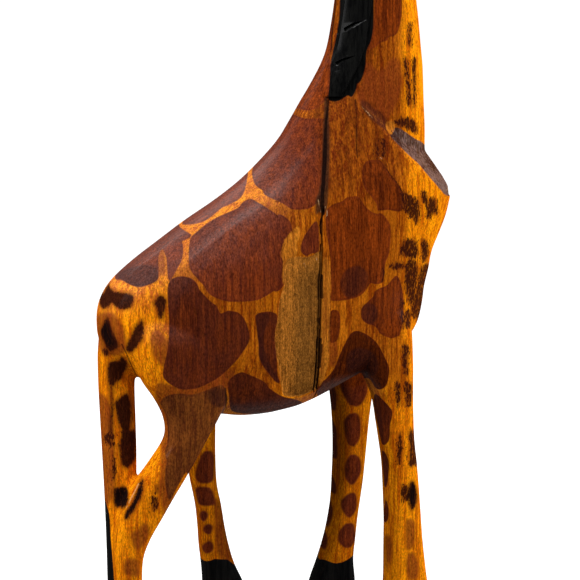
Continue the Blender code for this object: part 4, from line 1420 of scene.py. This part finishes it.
def plain_wood(name, light, dark, rough):
    w = Nodes(name)
    grain = w.noise((500, 500, 60), 3.0, 0.6)
    return w.finish(
        Base_Color=w.mix(w.ease(grain, 0.3, 0.7), dark, light),
        Roughness=rough,
        Specular_IOR_Level=0.1,
        Normal=w.bump(grain, 0.0004, 0.8),
    )


def set_floor():
    """A white floor, which bounces a dimmer light than the camera sees."""
    bpy.ops.mesh.primitive_plane_add(size=60.0, location=(0, 0, 0))
    floor = bpy.context.object
    floor.name = "floor"
    w = Nodes("floor_white")
    ray = w.add("LightPath").outputs["Is Camera Ray"]
    length = w.add("VectorMath")
    length.operation = "LENGTH"
    w.put(length.inputs[0], w.place)
    w.finish(
        Base_Color=w.mix(ray, (0.3, 0.29, 0.28), (0.6, 0.6, 0.6)),
        Roughness=1.0,
        Specular_IOR_Level=0.0,
        Emission_Color=(1.0, 1.0, 1.0),
        Emission_Strength=w.times(ray, w.ease(length.outputs["Value"], 1.0, 3.5, 0.8, 1.1)),
    )
    floor.data.materials.append(w.material)


def set_world():
    """A white background for the camera and a faint one for the light."""
    world = bpy.data.worlds.new("studio")
    bpy.context.scene.world = world
    world.use_nodes = True
    tree = world.node_tree
    back = tree.nodes["Background"]
    sky = tree.nodes.new("ShaderNodeBackground")
    sky.inputs["Color"].default_value = (1, 1, 1, 1)
    sky.inputs["Strength"].default_value = 1.1
    back.inputs["Color"].default_value = (1.0, 0.99, 0.97, 1)
    back.inputs["Strength"].default_value = 0.08
    choose = tree.nodes.new("ShaderNodeMixShader")
    ray = tree.nodes.new("ShaderNodeLightPath")
    tree.links.new(ray.outputs["Is Camera Ray"], choose.inputs[0])
    tree.links.new(back.outputs[0], choose.inputs[1])
    tree.links.new(sky.outputs[0], choose.inputs[2])
    tree.links.new(choose.outputs[0], tree.nodes["World Output"].inputs[0])


def set_lights():
    side = Vector((math.cos(SHEET_TURN), math.sin(SHEET_TURN), 0))
    toward = Vector((math.sin(SHEET_TURN), -math.cos(SHEET_TURN), 0))
    middle = Vector(LIGHT_MIDDLE)
    for name, along, near, up, size, power in LIGHTS:
        data = bpy.data.lights.new(name, "AREA")
        data.shape = "SQUARE"
        data.size = size
        data.energy = power
        lamp = linked(name, data)
        lamp.location = middle + side * along + toward * near + UP * up
        lamp.rotation_euler = (middle - lamp.location).to_track_quat("-Z", "Y").to_euler()
        lamp.visible_camera = False


def set_camera():
    data = bpy.data.cameras.new("photo_view")
    data.lens = CAMERA_LENS
    data.sensor_width = 36.0
    data.clip_start = 0.01
    camera = linked("photo_view", data)
    camera.location = CAMERA_PLACE
    look = Vector(CAMERA_AIM) - camera.location
    camera.rotation_euler = look.to_track_quat("-Z", "Y").to_euler()
    bpy.context.scene.camera = camera
    bpy.context.scene.view_settings.view_transform = "Standard"


def dress(obj, material, node):
    """Gives a piece its material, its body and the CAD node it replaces."""
    obj.data.materials.clear()
    obj.data.materials.append(material)
    obj.data.shade_smooth()
    obj.data.set_sharp_from_angle(angle=math.radians(38))
    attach(obj, "root")
    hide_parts(node)


def main():
    body, ears = carve()
    front, rear, filler = part_blocks(body)
    wood = stained_wood("stained_wood_looks")
    ear_wood = plain_wood("ear_wood_looks", EAR_LIGHT, EAR_DARK, 0.4)
    birch = plain_wood("dowel_looks", DOWEL_LIGHT, DOWEL_DARK, 0.6)
    for obj in (front, rear, filler, *ears):
        obj.data.transform(Matrix.Translation((SHIFT_X * MM, 0, 0)))
    roughen(front)
    roughen(rear)
    for obj in (front, rear, filler):
        paint(obj)
    dress(front, wood, "front_block")
    dress(rear, wood, "rear_block")
    dress(filler, wood, "seam_filler")
    for blade in ears:
        dress(blade, ear_wood, blade.name.replace("looks_", ""))
    for name in ("dowel_lower", "dowel_middle", "dowel_upper"):
        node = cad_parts[name]
        node.data.materials.clear()
        node.data.materials.append(birch)
    set_floor()
    set_world()
    set_lights()
    set_camera()


main()
